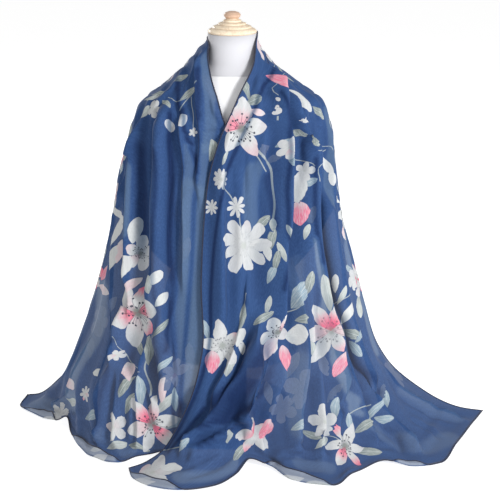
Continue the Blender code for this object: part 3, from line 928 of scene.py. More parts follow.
# Flowers and leaves of the cloth behind, which show dimly through the sheer cloth in front.
GHOST = 0.87  # how much fainter they are
GHOST_BEHIND = 0.5  # and how far they give way to what lies in front of them
GHOST_BLOOMS = table("""
306 390 42 10 5 0.5 0.1 0.5 61
282 408 30 40 5 0.5 0 0.3 62
264 150 22 0 5 0.5 0.1 0.2 63
176 372 32 20 5 0.5 0.1 0.3 64
396 372 34 30 5 0.5 0.1 0.3 65
96 322 34 10 5 0.5 0 0.3 66
""", *[1] * 9)
GHOST_LEAVES = {
    PALE: """
292 366 30 11 60 161
334 392 26 10 40 163
272 160 20 8 30 165
190 356 28 10 100 167
384 392 26 9 50 168
110 306 26 9 70 169
90 346 26 10 110 170
186 250 28 10 80 171
312 216 24 9 70 172
""",
    WHITE: """
324 366 28 10 110 162
268 392 26 10 80 164
164 388 30 11 60 166
""",
}

# Stems: a few pixels along each, and its half width in mm.
STEMS = drawn("""
224 187 230 196 234 203: 1.3
238 213 240 222 242 230: 1.3
258 150 270 170 274 200 273 226: 2.2
250 150 258 160 268 170: 1.2
276 64 277 82 277 96: 0.9
277 117 277 122: 1.6
197 78 188 96 178 112: 1
190 92 192 112 193 128: 0.7
168 96 176 102 186 98: 0.9
150 335 146 360 150 395: 1.8
112 336 124 352 140 372: 1
236 330 242 308 246 292: 1.2
284 320 296 308 304 292: 1.2
335 318 344 298 352 284: 1.2
326 150 322 165 320 182: 0.9
334 150 326 146 318 152: 0.7
162 448 176 446 190 438: 1.2
350 414 360 408 372 404: 1.2
322 432 332 436 340 440: 1
296 164 306 162 316 166: 0.9
""", 1)

# Sprays where the photograph doesn't see: u, v, radius in millimetres and seed.
HIDDEN_SPRAYS = table("""
0.22 13.4 46 31
0.62 13 54 32
0.88 14.3 40 33
0.38 14.8 50 34
0.7 15.6 58 35
0.14 16.2 40 36
0.48 16.9 54 37
0.86 17.2 44 38
0.26 18.2 48 39
0.66 18.6 58 40
0.44 19.9 50 41
0.84 20 46 42
0.92 5.2 44 46
0.9 7.6 40 47
0.8 10.6 42 48
0.92 11.8 40 49
0.9 28.8 46 50
0.93 26.4 40 51
0.8 23.6 38 52
0.92 22.4 40 53
0.18 20.8 44 43
0.62 21.3 54 44
0.9 21.6 36 45
""", 1, 1, MILLI, 1)
SPRAY_TINTS = (GREY_GREEN, BLUE_GREY, PALE, WHITE, BLUSH)


class Chart:
    """The flat cloth round one place: metres to the right and up, as one sees it from outside."""

    def __init__(self, sheet, place):
        across, down, self.way_across, self.way_down = sheet
        self.place = place
        a, d = unit(across[place]), unit(down[place])
        normal = unit(np.cross(d, a))
        up = np.array([0.0, 0.0, 1.0]) - normal * normal[2]
        if np.linalg.norm(up) < 0.35:
            up = np.array([0.0, 1.0, 0.0]) - normal * normal[1]
        up = unit(up)
        right = np.cross(up, normal)
        self.turn = np.array([[a @ right, d @ right], [a @ up, d @ up]])

    def read(self, low, high):
        """The places of all points in some rows, as two arrays."""
        i, j = self.place
        s = self.way_across[low:high] - self.way_across[low:high, j:j + 1]
        t = self.way_down[low:high] - self.way_down[i:i + 1]
        (p, q), (r, w) = self.turn
        return p * s + q * t, r * s + w * t

    def find(self, place):
        """The place of one point."""
        x, y = self.read(place[0], place[0] + 1)
        return np.array([x[0, place[1]], y[0, place[1]]])


def face_corners(values):
    """The values at each face's four corners, in the order in which the faces are made."""
    return np.stack([values[:-1, :-1], values[:-1, 1:], values[1:, 1:], values[1:, :-1]], axis=2)


def draw_line(seen, sheet, path, steps, margin):
    """A line through pixels, laid on the cloth: its stretches, and the rows that it may reach."""
    places = [seen_place(seen, *pixel) for pixel in path]
    chart = Chart(sheet, places[len(places) // 2])
    line = curve_through([chart.find(place) for place in places], steps)
    used = [place[0] for place in places]
    low, high = max(min(used) - margin, 0), min(max(used) + margin, len(seen) - 1)
    stretches = []
    for a, b in zip(line[:-1], line[1:]):
        size = max(np.linalg.norm(b - a), 1e-9)
        stretches.append((a, (b - a) / size, size))
    return stretches, low, high, *chart.read(low, high + 1)


def build_motifs(seen, sheet, u, v):
    """The print's flowers and its leaves: chart, place in it, turn, half sizes and looks."""
    blooms, leaves = [], []
    for rows, faint in ((BLOOMS, 0.0), (GHOST_BLOOMS, GHOST)):
        for column, row, radius, turn, petals, gap, pink, core, seed in rows:
            chart = Chart(sheet, seen_place(seen, column, row))
            size = radius * BLOOM_SCALE / 1000
            blooms.append((chart, (0, 0), turn, size, size, (petals, gap, pink),
                           (core, seed, float(seed in POINTED)), faint))
    for groups, faint in ((LEAVES, 0.0), (GHOST_LEAVES, GHOST)):
        for tint, text in groups.items():
            for column, row, long, wide, turn, seed in table(text, 1, 1, MILLI, MILLI, 1, 1):
                chart = Chart(sheet, seen_place(seen, column, row))
                leaves.append((chart, (0, 0), turn, long, wide, tint, (seed, 0, 0), faint))
    for place_u, place_v, size, seed in HIDDEN_SPRAYS:
        rng = np.random.default_rng(int(seed))
        place = (int(np.argmin(abs(v - place_v))), int(np.argmin(abs(u - place_u))))
        chart = Chart(sheet, place)
        petals = int(rng.choice([5, 5, 6, 9]))
        blooms.append((chart, (0, 0), rng.uniform(0, 360), size, size,
                       (petals, rng.uniform(0.4, 0.6), rng.uniform(0, 0.7)),
                       (rng.uniform(0.4, 1.0), seed, float(seed % 3 == 0)), 0.0))
        for k in range(5):
            angle = 72 * k + rng.uniform(-20, 20)
            reach = size * rng.uniform(1.15, 1.4)
            spot = (reach * math.cos(math.radians(angle)), reach * math.sin(math.radians(angle)))
            long = size * rng.uniform(0.4, 0.62)
            tint = SPRAY_TINTS[int(rng.choice(range(len(SPRAY_TINTS))))]
            leaves.append((chart, spot, angle + 15, long, long * 0.38, tint,
                           (seed * 7 + k, 0, 0), 0.0))
    return blooms, leaves


def lay_motifs(motifs, shape):
    """For each face corner, its place in the motif that covers it, and that motif's looks."""
    best = np.full(shape, MOTIF_REACH)
    where = np.full(shape + (4, 3), FAR)
    where[..., 2] = 0.0
    first = np.zeros(shape + (4, 3))
    second = np.zeros(shape + (4, 3))
    for chart, spot, turn, long, wide, one, two, faint in motifs:
        low = max(chart.place[0] - WINDOW, 0)
        high = min(chart.place[0] + WINDOW, shape[0])
        x, y = chart.read(low, high + 1)
        cosine, sine = math.cos(math.radians(turn)), math.sin(math.radians(turn))
        x, y = x - spot[0], y - spot[1]
        x, y = (x * cosine + y * sine) / long, (y * cosine - x * sine) / wide
        x, y = face_corners(x), face_corners(y)
        away = np.hypot(x.mean(axis=2), y.mean(axis=2)) + faint * GHOST_BEHIND
        better = away < best[low:high]
        best[low:high][better] = away[better]
        where[low:high][better] = np.stack([x, y, np.full_like(x, faint)], axis=-1)[better]
        first[low:high][better] = one
        second[low:high][better] = two
    return where, first, second


def lay_stems(seen, sheet, shape):
    """For each face corner, how far it is off the nearest stem and past its ends, and half the
    stem's width."""
    best = np.full(shape, STEM_FIELD)
    field = np.full(shape + (4, 3), FAR)
    for path, half in STEMS:
        stretches, low, high, x, y = draw_line(seen, sheet, path, 8, STEM_ROWS)
        x, y = face_corners(x), face_corners(y)
        for k, (a, way, size) in enumerate(stretches):
            along_it = (x - a[0]) * way[0] + (y - a[1]) * way[1]
            off = (y - a[1]) * way[0] - (x - a[0]) * way[1]
            middle = along_it.mean(axis=2)
            beyond = middle - np.clip(middle, 0, size)
            away = np.hypot(off.mean(axis=2), beyond)
            better = away < best[low:high]
            best[low:high][better] = away[better]
            past = np.full_like(off, -FAR)
            if k == 0:
                past = np.maximum(past, -along_it * 1000)
            if k == len(stretches) - 1:
                past = np.maximum(past, (along_it - size) * 1000)
            field[low:high][better] = np.stack(
                [off * 1000, past, np.full_like(off, half)], axis=-1)[better]
    return field


def lay_painted_light_and_shade(seen, sheet, stands):
    """The painted light (above 0) and painted shade (below 0) at each point of the cloth: the
    listed stretches, less a painted shade in each valley beside the folds.
    """
    field = np.zeros(stands.shape)
    for path, half, amount in PAINTED_LIGHT_AND_SHADE:
        stretches, low, high, x, y = draw_line(seen, sheet, path, 6, PAINTED_STRETCH_ROWS)
        away = np.full(x.shape, FAR)
        for a, way, size in stretches:
            t = np.clip((x - a[0]) * way[0] + (y - a[1]) * way[1], 0, size)
            away = np.minimum(away, np.hypot(x - a[0] - t * way[0], y - a[1] - t * way[1]))
        crisp = PAINTED_LIGHT_CRISP if amount > 0 else PAINTED_SHADE_CRISP
        field[low:high + 1] += amount * np.exp(-((away / half) ** crisp))
    # Painted shade in the valleys between folds: darker the further a point lies below the cloth
    # around it.
    spread = np.exp(-((np.arange(-VALLEY, VALLEY + 1) / (VALLEY / 2)) ** 2))
    spread /= spread.sum()
    padded = np.pad(stands, ((0, 0), (VALLEY, VALLEY)), mode="edge")
    around = sum(w * padded[:, k:k + stands.shape[1]] for k, w in enumerate(spread))
    return np.clip(field - np.clip((around - stands) / VALLEY_DEPTH, 0, 1), -1, 1)


# ---------------------------------------------------------------- shader writing

class Sock:
    """A socket that takes part in Python expressions; each operation adds a Math node."""

    def __init__(self, nodes, socket):
        self.nodes = nodes
        self.socket = socket

    def math(self, operation, *others):
        return self.nodes.math(operation, self, *others)

    def __add__(self, other):
        return self.math("ADD", other)

    def __sub__(self, other):
        return self.math("SUBTRACT", other)

    def __rsub__(self, other):
        return self.nodes.math("SUBTRACT", other, self)

    def __mul__(self, other):
        return self.math("MULTIPLY", other)

    def __truediv__(self, other):
        return self.math("DIVIDE", other)

    def __pow__(self, other):
        return self.math("POWER", other)

    def __lt__(self, other):
        return self.math("LESS_THAN", other)

    def __gt__(self, other):
        return self.math("GREATER_THAN", other)

    def __neg__(self):
        return self * -1.0

    __radd__ = __add__
    __rmul__ = __mul__

    def between(self, low, high):
        """From 0 at one value to 1 at the other, along a smooth step."""
        return self.nodes.add("ShaderNodeMapRange", {"interpolation_type": "SMOOTHSTEP"},
                              i0=self, i1=low, i2=high)


class Nodes:
    """A tree of nodes, with one method that adds any of them and short names for common ones."""

    def __init__(self, tree):
        self.tree = tree

    def plug(self, socket, value):
        """Link a socket, or set it to a value."""
        if isinstance(value, Sock):
            self.tree.links.new(value.socket, socket)
        elif isinstance(value, tuple) and socket.type == "RGBA":
            socket.default_value = (*value, 1.0)
        else:
            socket.default_value = value

    def add(self, kind, settings=None, pick=0, **sockets):
        """Any node: its settings first, then its sockets by name or number, such as i0 for the
        first. It gives the output that is picked by name or number."""
        made = self.tree.nodes.new(kind)
        for name, value in (settings or {}).items():
            setattr(made, name, value)
        for name, value in sockets.items():
            key = int(name[1:]) if name[1:].isdigit() else name.replace("_", " ")
            self.plug(made.inputs[key], value)
        return Sock(self, made.outputs[pick])

    def math(self, operation, *values):
        return self.add("ShaderNodeMath", {"operation": operation},
                        **{f"i{k}": value for k, value in enumerate(values)})

    def mix(self, factor, first, second, blend="MIX"):
        return self.add("ShaderNodeMix", {"data_type": "RGBA", "blend_type": blend}, 2,
                        i0=factor, i6=first, i7=second)

    def parts(self, vector):
        """The three numbers of a vector."""
        first = self.add("ShaderNodeSeparateXYZ", Vector=vector)
        return [Sock(self, socket) for socket in first.socket.node.outputs]

    def attribute(self, name):
        """A vector that is stored on the mesh, and its three numbers."""
        vector = self.add("ShaderNodeAttribute", {"attribute_name": name}, "Vector")
        return vector, self.parts(vector)

    def noise(self, vector, scale, detail=2.0, rough=0.5, distortion=0.0):
        return self.add("ShaderNodeTexNoise", Vector=vector, Scale=scale, Detail=detail,
                        Roughness=rough, Distortion=distortion)

    def stretch(self, vector, scale):
        return self.add("ShaderNodeMapping", Vector=vector, Scale=scale)

    def bump(self, height, strength, distance):
        return self.add("ShaderNodeBump", Height=height, Strength=strength, Distance=distance)

    def dress(self, **sockets):
        """Set or link the sockets of the material's own shader."""
        shader = self.tree.nodes["Principled BSDF"]
        for name, value in sockets.items():
            self.plug(shader.inputs[name.replace("_", " ")], value)


def hashed(value, seed):
    """A steady random number from 0 to 1 for each whole value and seed."""
    return ((value * 12.9898 + seed * 78.233).math("SINE") * 43758.5453).math("FRACT")


def new_material(name):
    """A material, its nodes and its Object coordinates."""
    made = bpy.data.materials.new(name)
    made.use_nodes = True
    nodes = Nodes(made.node_tree)
    return made, nodes, nodes.add("ShaderNodeTexCoord", pick="Object")


# ---------------------------------------------------------------- the voile's material

GROUND = (0.0250, 0.0635, 0.176)
GROUND_PALE = (0.044, 0.100, 0.242)
GROUND_DARK = (0.020, 0.050, 0.150)
CREAM = (0.53, 0.54, 0.555)
PINK_INK = (0.70, 0.13, 0.22)
DARK_INK = (0.045, 0.050, 0.075)
# painted light that shows through the cloth where it lies in one layer
PAINTED_LIGHT_INK = (0.105, 0.170, 0.275)
STEM_INK = (0.30, 0.34, 0.36)
UNDERSIDE_INK = (0.42, 0.45, 0.52)
# painted shade in the folds and their valleys
PAINTED_SHADE_INK = (0.26, 0.34, 0.46)
STAMENS = 29.0


def flower_paint(nodes, name, colour, cover):
    """Paint the flowers that an attribute places over a colour, and add to the ink's cover."""
    where, (x, y, faint) = nodes.attribute(name)
    _, (petals, gap, pink) = nodes.attribute(name + "_petals")
    _, (core, seed, pointed) = nodes.attribute(name + "_heart")
    petals, seed, pointed = (n.math("ROUND") for n in (petals, seed, pointed))
    wobble = nodes.noise(where, 2.2) - 0.5
    radius = ((x * x + y * y).math("SQRT")) * (1 + wobble * 0.22)
    angle = y.math("ARCTAN2", x) + wobble * 0.35
    turn = angle * petals / (2 * math.pi) + 40.0
    index = (turn + 0.5).math("FLOOR")
    index = index - (index / petals.math("MAXIMUM", 1.0)).math("FLOOR") * petals
    off = ((turn + 0.5).math("FRACT") - 0.5).math("ABSOLUTE") * 2
    single = hashed(index, seed)
    other = hashed(index + 3.1, seed)
    reach = (1 - gap * off ** (2.2 - pointed * 1.1)) * (0.80 + single * 0.22)
    inside = (reach - radius).between(-0.012, 0.012)
    big = petals > 1.5
    streaks = nodes.add("ShaderNodeCombineXYZ", X=turn * 9.0, Y=radius * 1.4, Z=seed)
    vein = nodes.noise(streaks, 1.6)
    body = nodes.mix(vein.between(0.45, 0.62) * 0.30 * big, CREAM, (0.44, 0.47, 0.48))
    body = nodes.mix(radius.between(0.95, 0.25) * 0.25 * big, body, (0.50, 0.52, 0.50))
    blush = (other * 0.9 + pink * 1.05).between(0.75, 1.35)
    edge_first = (radius + vein * 0.25).between(0.52, 0.95)
    heart_first = (radius + vein * 0.3).between(0.85, 0.35)
    where_pink = edge_first + (heart_first - edge_first) * (single > 0.45)
    body = nodes.mix(blush * where_pink * (pink > 0.02) * big, body, PINK_INK)
    seam = off.between(0.90, 0.995) * radius.between(0.2, 0.4) * big
    body = nodes.mix(seam * 0.55, body, (0.36, 0.38, 0.42))
    ray = angle * STAMENS / (2 * math.pi) + 50.0
    ray_length = 0.12 + 0.34 * hashed((ray + 0.5).math("FLOOR"), seed + 5.0)
    ray_off = (((ray + 0.5).math("FRACT") - 0.5).math("ABSOLUTE")
               * radius * (2 * math.pi / STAMENS))
    ray_end = radius - ray_length
    line = ray_off.between(0.014, 0.005) * (ray_length - radius).between(-0.01, 0.02)
    dot = (ray_off * ray_off + ray_end * ray_end).math("SQRT").between(0.040, 0.020)
    stamen = (line * 0.6).math("MAXIMUM", dot) * core.between(0.25, 0.9) * big
    body = nodes.mix(radius.between(0.16, 0.06) * 0.6 * core * big, body, (0.34, 0.40, 0.30))
    body = nodes.mix(stamen, body, DARK_INK)
    inside = inside * (1 - faint)
    return nodes.mix(inside, colour, body), cover.math("MAXIMUM", inside)


def leaf_paint(nodes, name, colour, cover):
    """Paint the leaves, buds and loose petals that an attribute places over a colour."""
    where, (x, y, faint) = nodes.attribute(name)
    tint, (red, green, _) = nodes.attribute(name + "_tint")
    seed = nodes.attribute(name + "_seed")[1][0].math("ROUND")
    wobble = nodes.noise(where, 1.7) - 0.5
    bend = y + (x * x - 0.4) * 0.35 * (hashed(seed, seed) - 0.5)
    off = bend.math("ABSOLUTE")
    half = ((1 - x * x).math("MAXIMUM", 0.0)) ** 0.75 * (1 + x * 0.25) * (1 + wobble * 0.35)
    inside = (half - off).between(-0.03, 0.03) * (x.math("ABSOLUTE") < 1.0)
    petal = red > PETAL_RED
    rib = off.between(0.07, 0.02) * (1 - petal)
    slant = (x * 9.0 + off * -5.0).math("FRACT") - 0.5
    side_rib = slant.math("ABSOLUTE").between(0.10, 0.02) * (1 - petal)
    streak = nodes.noise(nodes.stretch(where, (1.2, 7.0, 1.0)), 1.5)
    body = nodes.mix(streak.between(0.40, 0.65) * 0.45, tint, (0.62, 0.64, 0.64))
    body = nodes.mix(rib * 0.6 + side_rib * 0.25, body, (0.55, 0.60, 0.60))
    body = nodes.mix(x.between(0.2, -0.8) * 0.35 * (1 - petal), body, (0.07, 0.10, 0.13))
    blush = petal * (x + wobble).between(0.0, 0.9) * (green < 0.6)
    body = nodes.mix(blush * 0.6, body, CREAM)
    inside = inside * (1 - faint)
    return nodes.mix(inside, colour, body), cover.math("MAXIMUM", inside)


def voile_material():
    """Sheer blue voile with its print, with painted light where it lies in one layer and painted
    shade in its folds.
    """
    made, nodes, place = new_material("printed voile")
    thread = nodes.attribute("thread")[0]
    slub = nodes.noise(nodes.stretch(thread, (1.0, 0.55, 1.0)), 320.0, 3.0, 0.6)
    colour = nodes.mix(slub.between(0.35, 0.7) * 0.45, GROUND, GROUND_PALE)
    patch = nodes.noise(place, 9.0)
    colour = nodes.mix(patch.between(0.35, 0.7) * 0.25, colour, GROUND_DARK)
    _, (stem_off, stem_past, stem_half) = nodes.attribute("stem")
    stem = (stem_off.math("ABSOLUTE") - stem_half).math("MAXIMUM", stem_past)
    cover = stem.between(0.4, -0.4)
    colour = nodes.mix(cover, colour, STEM_INK)
    colour, cover = leaf_paint(nodes, "leaf", colour, cover)
    colour, cover = flower_paint(nodes, "bloom", colour, cover)
    colour, cover = leaf_paint(nodes, "petal", colour, cover)
    # Painted light (above 0, with the turned ends' paler underside added) and painted shade (below
    # 0)
    _, (painted_light_shade_and_underside, turned, _) = nodes.attribute("painted_light_shade_and_underside")
    pale = painted_light_shade_and_underside.math("MAXIMUM", 0.0)
    painted_shade = (-painted_light_shade_and_underside).math("MAXIMUM", 0.0)
    tone = slub.between(0.2, 0.8) * 0.14 + 0.90
    grey = nodes.add("ShaderNodeCombineColor", i0=tone, i1=tone, i2=tone)
    # painted light over the plain cloth, weaker over the print; the cloth is also made a little
    # more see-through there
    colour = nodes.mix(pale * (0.66 - cover * 0.54), colour, PAINTED_LIGHT_INK)
    colour = nodes.mix(turned * 0.55, colour, UNDERSIDE_INK)
    colour = nodes.mix(1.0, colour, grey, "MULTIPLY")
    # painted shade in the folds and valleys
    colour = nodes.mix(painted_shade, colour, PAINTED_SHADE_INK, "MULTIPLY")
    weave = nodes.noise(nodes.stretch(thread, (1.0, 0.4, 1.0)), 420.0)
    crinkled = nodes.noise(nodes.stretch(thread, (1.0, 0.7, 1.0)), 70.0, 3.0)
    nodes.dress(Base_Color=colour, Alpha=0.975 + cover * 0.015 - pale * 0.045, Roughness=0.78,
                Specular_IOR_Level=0.15, Sheen_Weight=0.08, Sheen_Roughness=0.4,
                Normal=nodes.bump(weave * 0.35 + crinkled, 0.35, 0.0010))
    return made


# ---------------------------------------------------------------- the other materials

def hem_material():
    """The dark roll of the hem, with the twist of its edge."""
    made, nodes, place = new_material("rolled hem")
    twist = nodes.noise(place, 700.0)
    nodes.dress(Base_Color=nodes.mix(twist, (0.004, 0.006, 0.022), (0.014, 0.020, 0.055)),
                Roughness=0.75, Sheen_Weight=0.15, Normal=nodes.bump(twist, 0.5, 0.0006))
    return made


def thread_material():
    """The thread of the hem's stitches."""
    made, nodes, place = new_material("hem thread")
    colour = nodes.mix(nodes.noise(place, 900.0), (0.010, 0.016, 0.05), (0.03, 0.045, 0.11))
    nodes.dress(Base_Color=colour, Roughness=0.6)
    return made


NECK_SEAM = 0.774  # height of the cover's seam round the neck


def cover_material():
    """White jersey, greyer on the neck, with a seam below it."""
    made, nodes, place = new_material("white jersey cover")
    patch = nodes.noise(place, 14.0, 3.0)
    height = nodes.parts(place)[2]
    neck = height.between(NECK_SEAM - 0.0006, NECK_SEAM + 0.0006)
    seam = (height - NECK_SEAM).math("ABSOLUTE").between(0.0022, 0.0004)
    colour = nodes.mix(patch.between(0.3, 0.8), (0.88, 0.88, 0.90), (0.91, 0.91, 0.92))
    colour = nodes.mix(neck * 0.85, colour, (0.52, 0.52, 0.555))
    colour = nodes.mix(seam * 0.4, colour, (0.40, 0.40, 0.43))
    knit = nodes.noise(nodes.stretch(place, (1.0, 1.0, 0.35)), 900.0)
    nodes.dress(Base_Color=colour, Roughness=0.85, Sheen_Weight=0.1,
                Normal=nodes.bump(knit, 0.35, 0.0004))
    return made


KNOB_FOOT = 0.8855  # height of the cap's neck, under its knob
CAP_RINGS = (0.8585, 0.8675, 0.8740, 0.8795, 0.8860)  # heights of the cap's darker rings


def wood_material():
    """Pale turned wood, browner on the knob and in the cap's grooves."""
    made, nodes, place = new_material("pale turned wood")
    grain = nodes.noise(nodes.stretch(place, (1.0, 0.22, 1.0)), 95.0, 3.0, 0.6, 0.8)
    fleck = nodes.noise(nodes.stretch(place, (1.0, 0.1, 1.0)), 600.0)
    height = nodes.parts(place)[2]
    colour = nodes.mix(grain.between(0.35, 0.70), (0.88, 0.76, 0.58), (0.76, 0.60, 0.43))
    colour = nodes.mix(fleck.between(0.58, 0.75) * 0.35, colour, (0.40, 0.22, 0.11))
    knob = height.between(KNOB_FOOT - 0.001, KNOB_FOOT + 0.003)
    colour = nodes.mix(knob * 0.85, colour, (0.52, 0.32, 0.22))
    for ring in CAP_RINGS:
        groove = (height - ring).math("ABSOLUTE").between(0.0018, 0.0004)
        colour = nodes.mix(groove * 0.38, colour, (0.34, 0.20, 0.11))
    nodes.dress(Base_Color=colour, Roughness=0.32 + grain * 0.16, Coat_Weight=0.15,
                Normal=nodes.bump(fleck, 0.15, 0.0005))
    return made


def floor_material():
    """The plain pale floor, lit from within so that it stays near white."""
    made, nodes, place = new_material("pale floor")
    colour = nodes.mix(nodes.noise(place, 3.0), (0.55, 0.55, 0.55), (0.57, 0.57, 0.57))
    nodes.dress(Base_Color=colour, Roughness=0.9, Emission_Color=(1.0, 1.0, 1.0),
                Emission_Strength=0.78)
    return made


# ---------------------------------------------------------------- building the pieces

def add_object(name, data):
    """An object in the scene."""
    made = bpy.data.objects.new(name, data)
    bpy.context.scene.collection.objects.link(made)
    return made


def add_piece(name, mesh, material):
    """A piece of the part, in its material."""
    made = add_object(name, mesh)
    mesh.materials.clear()
    mesh.materials.append(material)
    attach(made, "root")
    return made


def finished_mesh(holder, name):
    """The plain mesh that a curve or a modifier makes; its holder is removed."""
    bpy.context.view_layer.update()
    mesh = bpy.data.meshes.new_from_object(holder.evaluated_get(
        bpy.context.evaluated_depsgraph_get()))
    bpy.data.objects.remove(holder)
    mesh.name = name
    mesh.shade_smooth()
    return mesh


def grid_mesh(name, grid):
    """A mesh of square faces through a grid of points."""
    index = np.arange(grid.shape[0] * grid.shape[1]).reshape(grid.shape[:2])
    corners = face_corners(index).reshape(-1, 4)
    mesh = bpy.data.meshes.new(name)
    mesh.vertices.add(index.size)
    mesh.vertices.foreach_set("co", grid.reshape(-1).astype(np.float32))
    mesh.loops.add(corners.size)
    mesh.loops.foreach_set("vertex_index", corners.reshape(-1).astype(np.int32))
    mesh.polygons.add(len(corners))
    mesh.polygons.foreach_set("loop_start", (np.arange(len(corners)) * 4).astype(np.int32))
    mesh.polygons.foreach_set("loop_total", np.full(len(corners), 4, dtype=np.int32))
    mesh.update(calc_edges=True)
    mesh.validate()
    mesh.shade_smooth()
    return mesh


def store(mesh, name, values, domain="CORNER"):
    """Keep three numbers for each corner or point of a mesh."""
    made = mesh.attributes.new(name, "FLOAT_VECTOR", domain)
    made.data.foreach_set("vector", values.reshape(-1).astype(np.float32))


def build_scarf():
    """The scarf, one cloth with its print laid on it, and its grid of points."""
    grid, base, stands, u, v = main_cloth()
    grid, base, stands, v, turned = turn_ends(keep_clear(grid), base, stands, u, v)
    mesh = grid_mesh("scarf", grid)
    steps_across = np.linalg.norm(np.diff(grid, axis=1), axis=-1)
    steps_down = np.linalg.norm(np.diff(grid, axis=0), axis=-1)
    way_across = np.pad(np.cumsum(steps_across, axis=1), ((0, 0), (1, 0)))
    way_down = np.pad(np.cumsum(steps_down, axis=0), ((1, 0), (0, 0)))
    sheet = (np.gradient(base, axis=1), np.gradient(base, axis=0), way_across, way_down)
    seen = photo_pixel(grid)
    shape = (len(v) - 1, len(u) - 1)
    blooms, leaves = build_motifs(seen, sheet, u, v)
    for name, motifs, one, two in (
        ("bloom", blooms, "_petals", "_heart"),
        ("leaf", [m for m in leaves if m[5][0] < PETAL_RED], "_tint", "_seed"),
        ("petal", [m for m in leaves if m[5][0] >= PETAL_RED], "_tint", "_seed"),
    ):
        where, first, second = lay_motifs(motifs, shape)
        store(mesh, name, where)
        store(mesh, name + one, first)
        store(mesh, name + two, second)
    store(mesh, "stem", lay_stems(seen, sheet, shape))
    none = np.zeros_like(turned)
    # painted light and shade, with the turned ends' paler underside
    painted_light_shade_and_underside = np.clip(lay_painted_light_and_shade(seen, sheet, stands) + turned, -1, 1)
    store(mesh, "painted_light_shade_and_underside", np.stack([painted_light_shade_and_underside, turned, none], axis=-1), "POINT")
    store(mesh, "thread", np.stack([way_across, way_down, none], axis=-1), "POINT")
    scarf = add_piece("scarf", mesh, voile_material())
    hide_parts("scarf_front_left", "scarf_front_right", "scarf_back")
    return scarf, grid


HEM_RADIUS = 0.0014
HEM_CLEAR = 0.0002  # between the roll and the floor


def edge_path(grid):
    """The cloth's outline, once round, high enough for the roll to clear the floor."""
    path = np.concatenate([grid[0, :-1], grid[:-1, -1], grid[-1, :0:-1], grid[:0:-1, 0]])
    path[:, 2] = np.maximum(path[:, 2], HEM_RADIUS + HEM_CLEAR)
    return path


def build_hem(path):
    """The rolled hem: a thin roll all along the cloth's four edges."""
    curve = bpy.data.curves.new("hem_path", "CURVE")
    curve.dimensions = "3D"
    curve.bevel_depth = HEM_RADIUS
    curve.bevel_resolution = 1
    spline = curve.splines.new("POLY")
    spline.points.add(len(path) - 1)
    for point, place in zip(spline.points, path):
        point.co = (*place, 1.0)
    spline.use_cyclic_u = True
    mesh = finished_mesh(add_object("hem_path", curve), "scarf_hem")
    hem = add_piece("scarf_hem", mesh, hem_material())
    return hem


STITCH_SPACING = 0.0052
STITCH_SIZES = (0.8, 1.15)
STITCH_SEED = 4


def stitch_tree(thread):
    """Geometry Nodes that set a short stitch at even steps along a path."""
    tree = bpy.data.node_groups.new("hem_stitches", "GeometryNodeTree")
    face = tree.interface
    face.new_socket("Geometry", in_out="INPUT", socket_type="NodeSocketGeometry")
    face.new_socket("Spacing", in_out="INPUT", socket_type="NodeSocketFloat")
    face.new_socket("Geometry", in_out="OUTPUT", socket_type="NodeSocketGeometry")
    nodes = Nodes(tree)
    path = nodes.add("NodeGroupInput")
    spacing = Sock(nodes, path.socket.node.outputs["Spacing"])
    line = nodes.add("GeometryNodeMeshToCurve", Mesh=path)
    even = nodes.add("GeometryNodeResampleCurve", {"mode": "LENGTH"}, Curve=line, Length=spacing)
    turned = nodes.add("FunctionNodeAlignRotationToVector", {"axis": "Z"},
                       Vector=nodes.add("GeometryNodeInputTangent"))
    wander = nodes.add("FunctionNodeRandomValue", {"data_type": "FLOAT"}, 1, Seed=STITCH_SEED,
                       i2=STITCH_SIZES[0], i3=STITCH_SIZES[1])
    stitch = nodes.add("GeometryNodeMeshUVSphere", Segments=6, Rings=4, Radius=0.0014)
    slim = nodes.add("GeometryNodeTransform", Geometry=stitch, Scale=(0.62, 0.62, 1.0),
                     Translation=(0.0, 0.0009, 0.0))
    laid = nodes.add("GeometryNodeInstanceOnPoints", Points=even, Instance=slim, Rotation=turned,
                     Scale=wander)
    whole = nodes.add("GeometryNodeRealizeInstances", Geometry=laid)
    dressed = nodes.add("GeometryNodeSetMaterial", Geometry=whole, Material=thread)
    tree.links.new(dressed.socket, tree.nodes.new("NodeGroupOutput").inputs[0])
    return tree


def build_stitches(path):
    """The hem's small stitches."""
    count = len(path)
    mesh = bpy.data.meshes.new("stitch_path")
    mesh.from_pydata(path.tolist(), [(k, (k + 1) % count) for k in range(count)], [])
    holder = add_object("stitch_path", mesh)
    thread = thread_material()
    grown = holder.modifiers.new("stitches", "NODES")
    grown.node_group = stitch_tree(thread)
    names = {item.name: item.identifier for item in grown.node_group.interface.items_tree
             if item.item_type == "SOCKET" and item.in_out == "INPUT"}
    grown[names["Spacing"]] = STITCH_SPACING
    stitches = add_piece("hem_stitches", finished_mesh(holder, "hem_stitches"), thread)
    return stitches


COVER_SHARP = math.radians(50)  # edges of the form's body sharper than this stay edges
COVER_MERGE = 0.00001


def build_cover():
    """The form's jersey cover: its body's own shape, shaded as one smooth surface."""
    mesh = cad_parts["form_body"].data.copy()
    mesh.name = "jersey_cover"
    merged = bmesh.new()
    merged.from_mesh(mesh)
    bmesh.ops.remove_doubles(merged, verts=merged.verts, dist=COVER_MERGE)
    merged.to_mesh(mesh)
    merged.free()
    mesh.shade_smooth()
    mesh.set_sharp_from_angle(angle=COVER_SHARP)
    cover = add_piece("jersey_cover", mesh, cover_material())
    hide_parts("form_body")
    return cover


def finish_form():
    """The dress form's wooden nodes keep their shapes and get their wood."""
    wood = wood_material()
    for name in ("form_cap", "form_post", "form_base"):
        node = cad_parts[name]
        node.data.materials.clear()
        node.data.materials.append(wood)


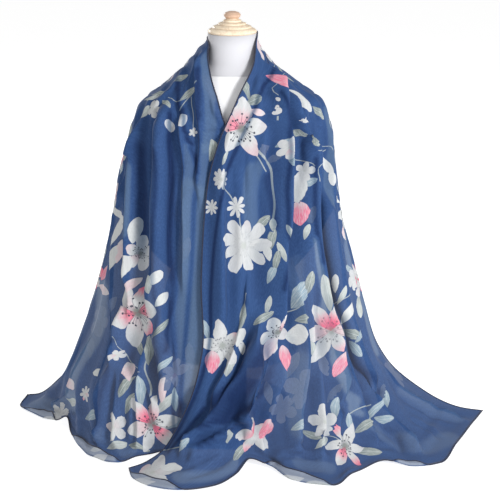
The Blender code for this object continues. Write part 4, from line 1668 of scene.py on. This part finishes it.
# ---------------------------------------------------------------- floor, light and camera

FLOOR_REACH = 250.0
FLOOR_HEIGHT = -0.0005


def build_floor():
    """A pale floor that reaches past every view's edge."""
    mesh = bpy.data.meshes.new("floor")
    corners = ((-1, -1), (1, -1), (1, 1), (-1, 1))
    mesh.from_pydata([(FLOOR_REACH * x, FLOOR_REACH * y, FLOOR_HEIGHT) for x, y in corners],
                     [], [(0, 1, 2, 3)])
    mesh.materials.append(floor_material())
    add_object("floor", mesh)


def light_scene():
    """A soft key light from the right, weaker ones round it, and a pale world."""
    world = bpy.data.worlds.new("studio")
    world.use_nodes = True
    world.node_tree.nodes["Background"].inputs[0].default_value = (1.0, 1.0, 1.0, 1.0)
    world.node_tree.nodes["Background"].inputs[1].default_value = 0.34
    bpy.context.scene.world = world
    bpy.context.scene.view_settings.view_transform = "Standard"
    for name, place, aim, size, power in (
        ("key", (2.1, -2.5, 1.7), 0.45, 0.8, 110),
        ("fill", (-2.0, -2.8, 1.4), 0.45, 1.6, 14),
        ("top", (0.0, 0.6, 3.4), 0.4, 2.4, 20),
        ("back", (-1.9, 2.6, 1.5), 0.5, 1.0, 34),
    ):
        data = bpy.data.lights.new(name, "AREA")
        data.shape = "RECTANGLE"
        data.size = data.size_y = size
        data.energy = power
        light = add_object(name, data)
        light.location = place
        way = Vector((0, 0, aim)) - Vector(place)
        light.rotation_euler = way.to_track_quat("-Z", "Y").to_euler()


def add_camera():
    """The photograph's camera."""
    data = bpy.data.cameras.new("camera")
    data.sensor_width = SENSOR
    data.lens = CAMERA_FOCUS / FRAME_SIZE * SENSOR
    data.clip_end = 4 * FLOOR_REACH
    camera = add_object("camera", data)
    camera.location = CAMERA_PLACE
    camera.rotation_euler = (math.pi / 2 - CAMERA_PITCH, 0, 0)
    bpy.context.scene.camera = camera


def main():
    """Build everything."""
    add_camera()
    build_floor()
    scarf, grid = build_scarf()
    path = edge_path(grid)
    hem = build_hem(path)
    stitches = build_stitches(path)
    cover = build_cover()
    finish_form()
    light_scene()


main()
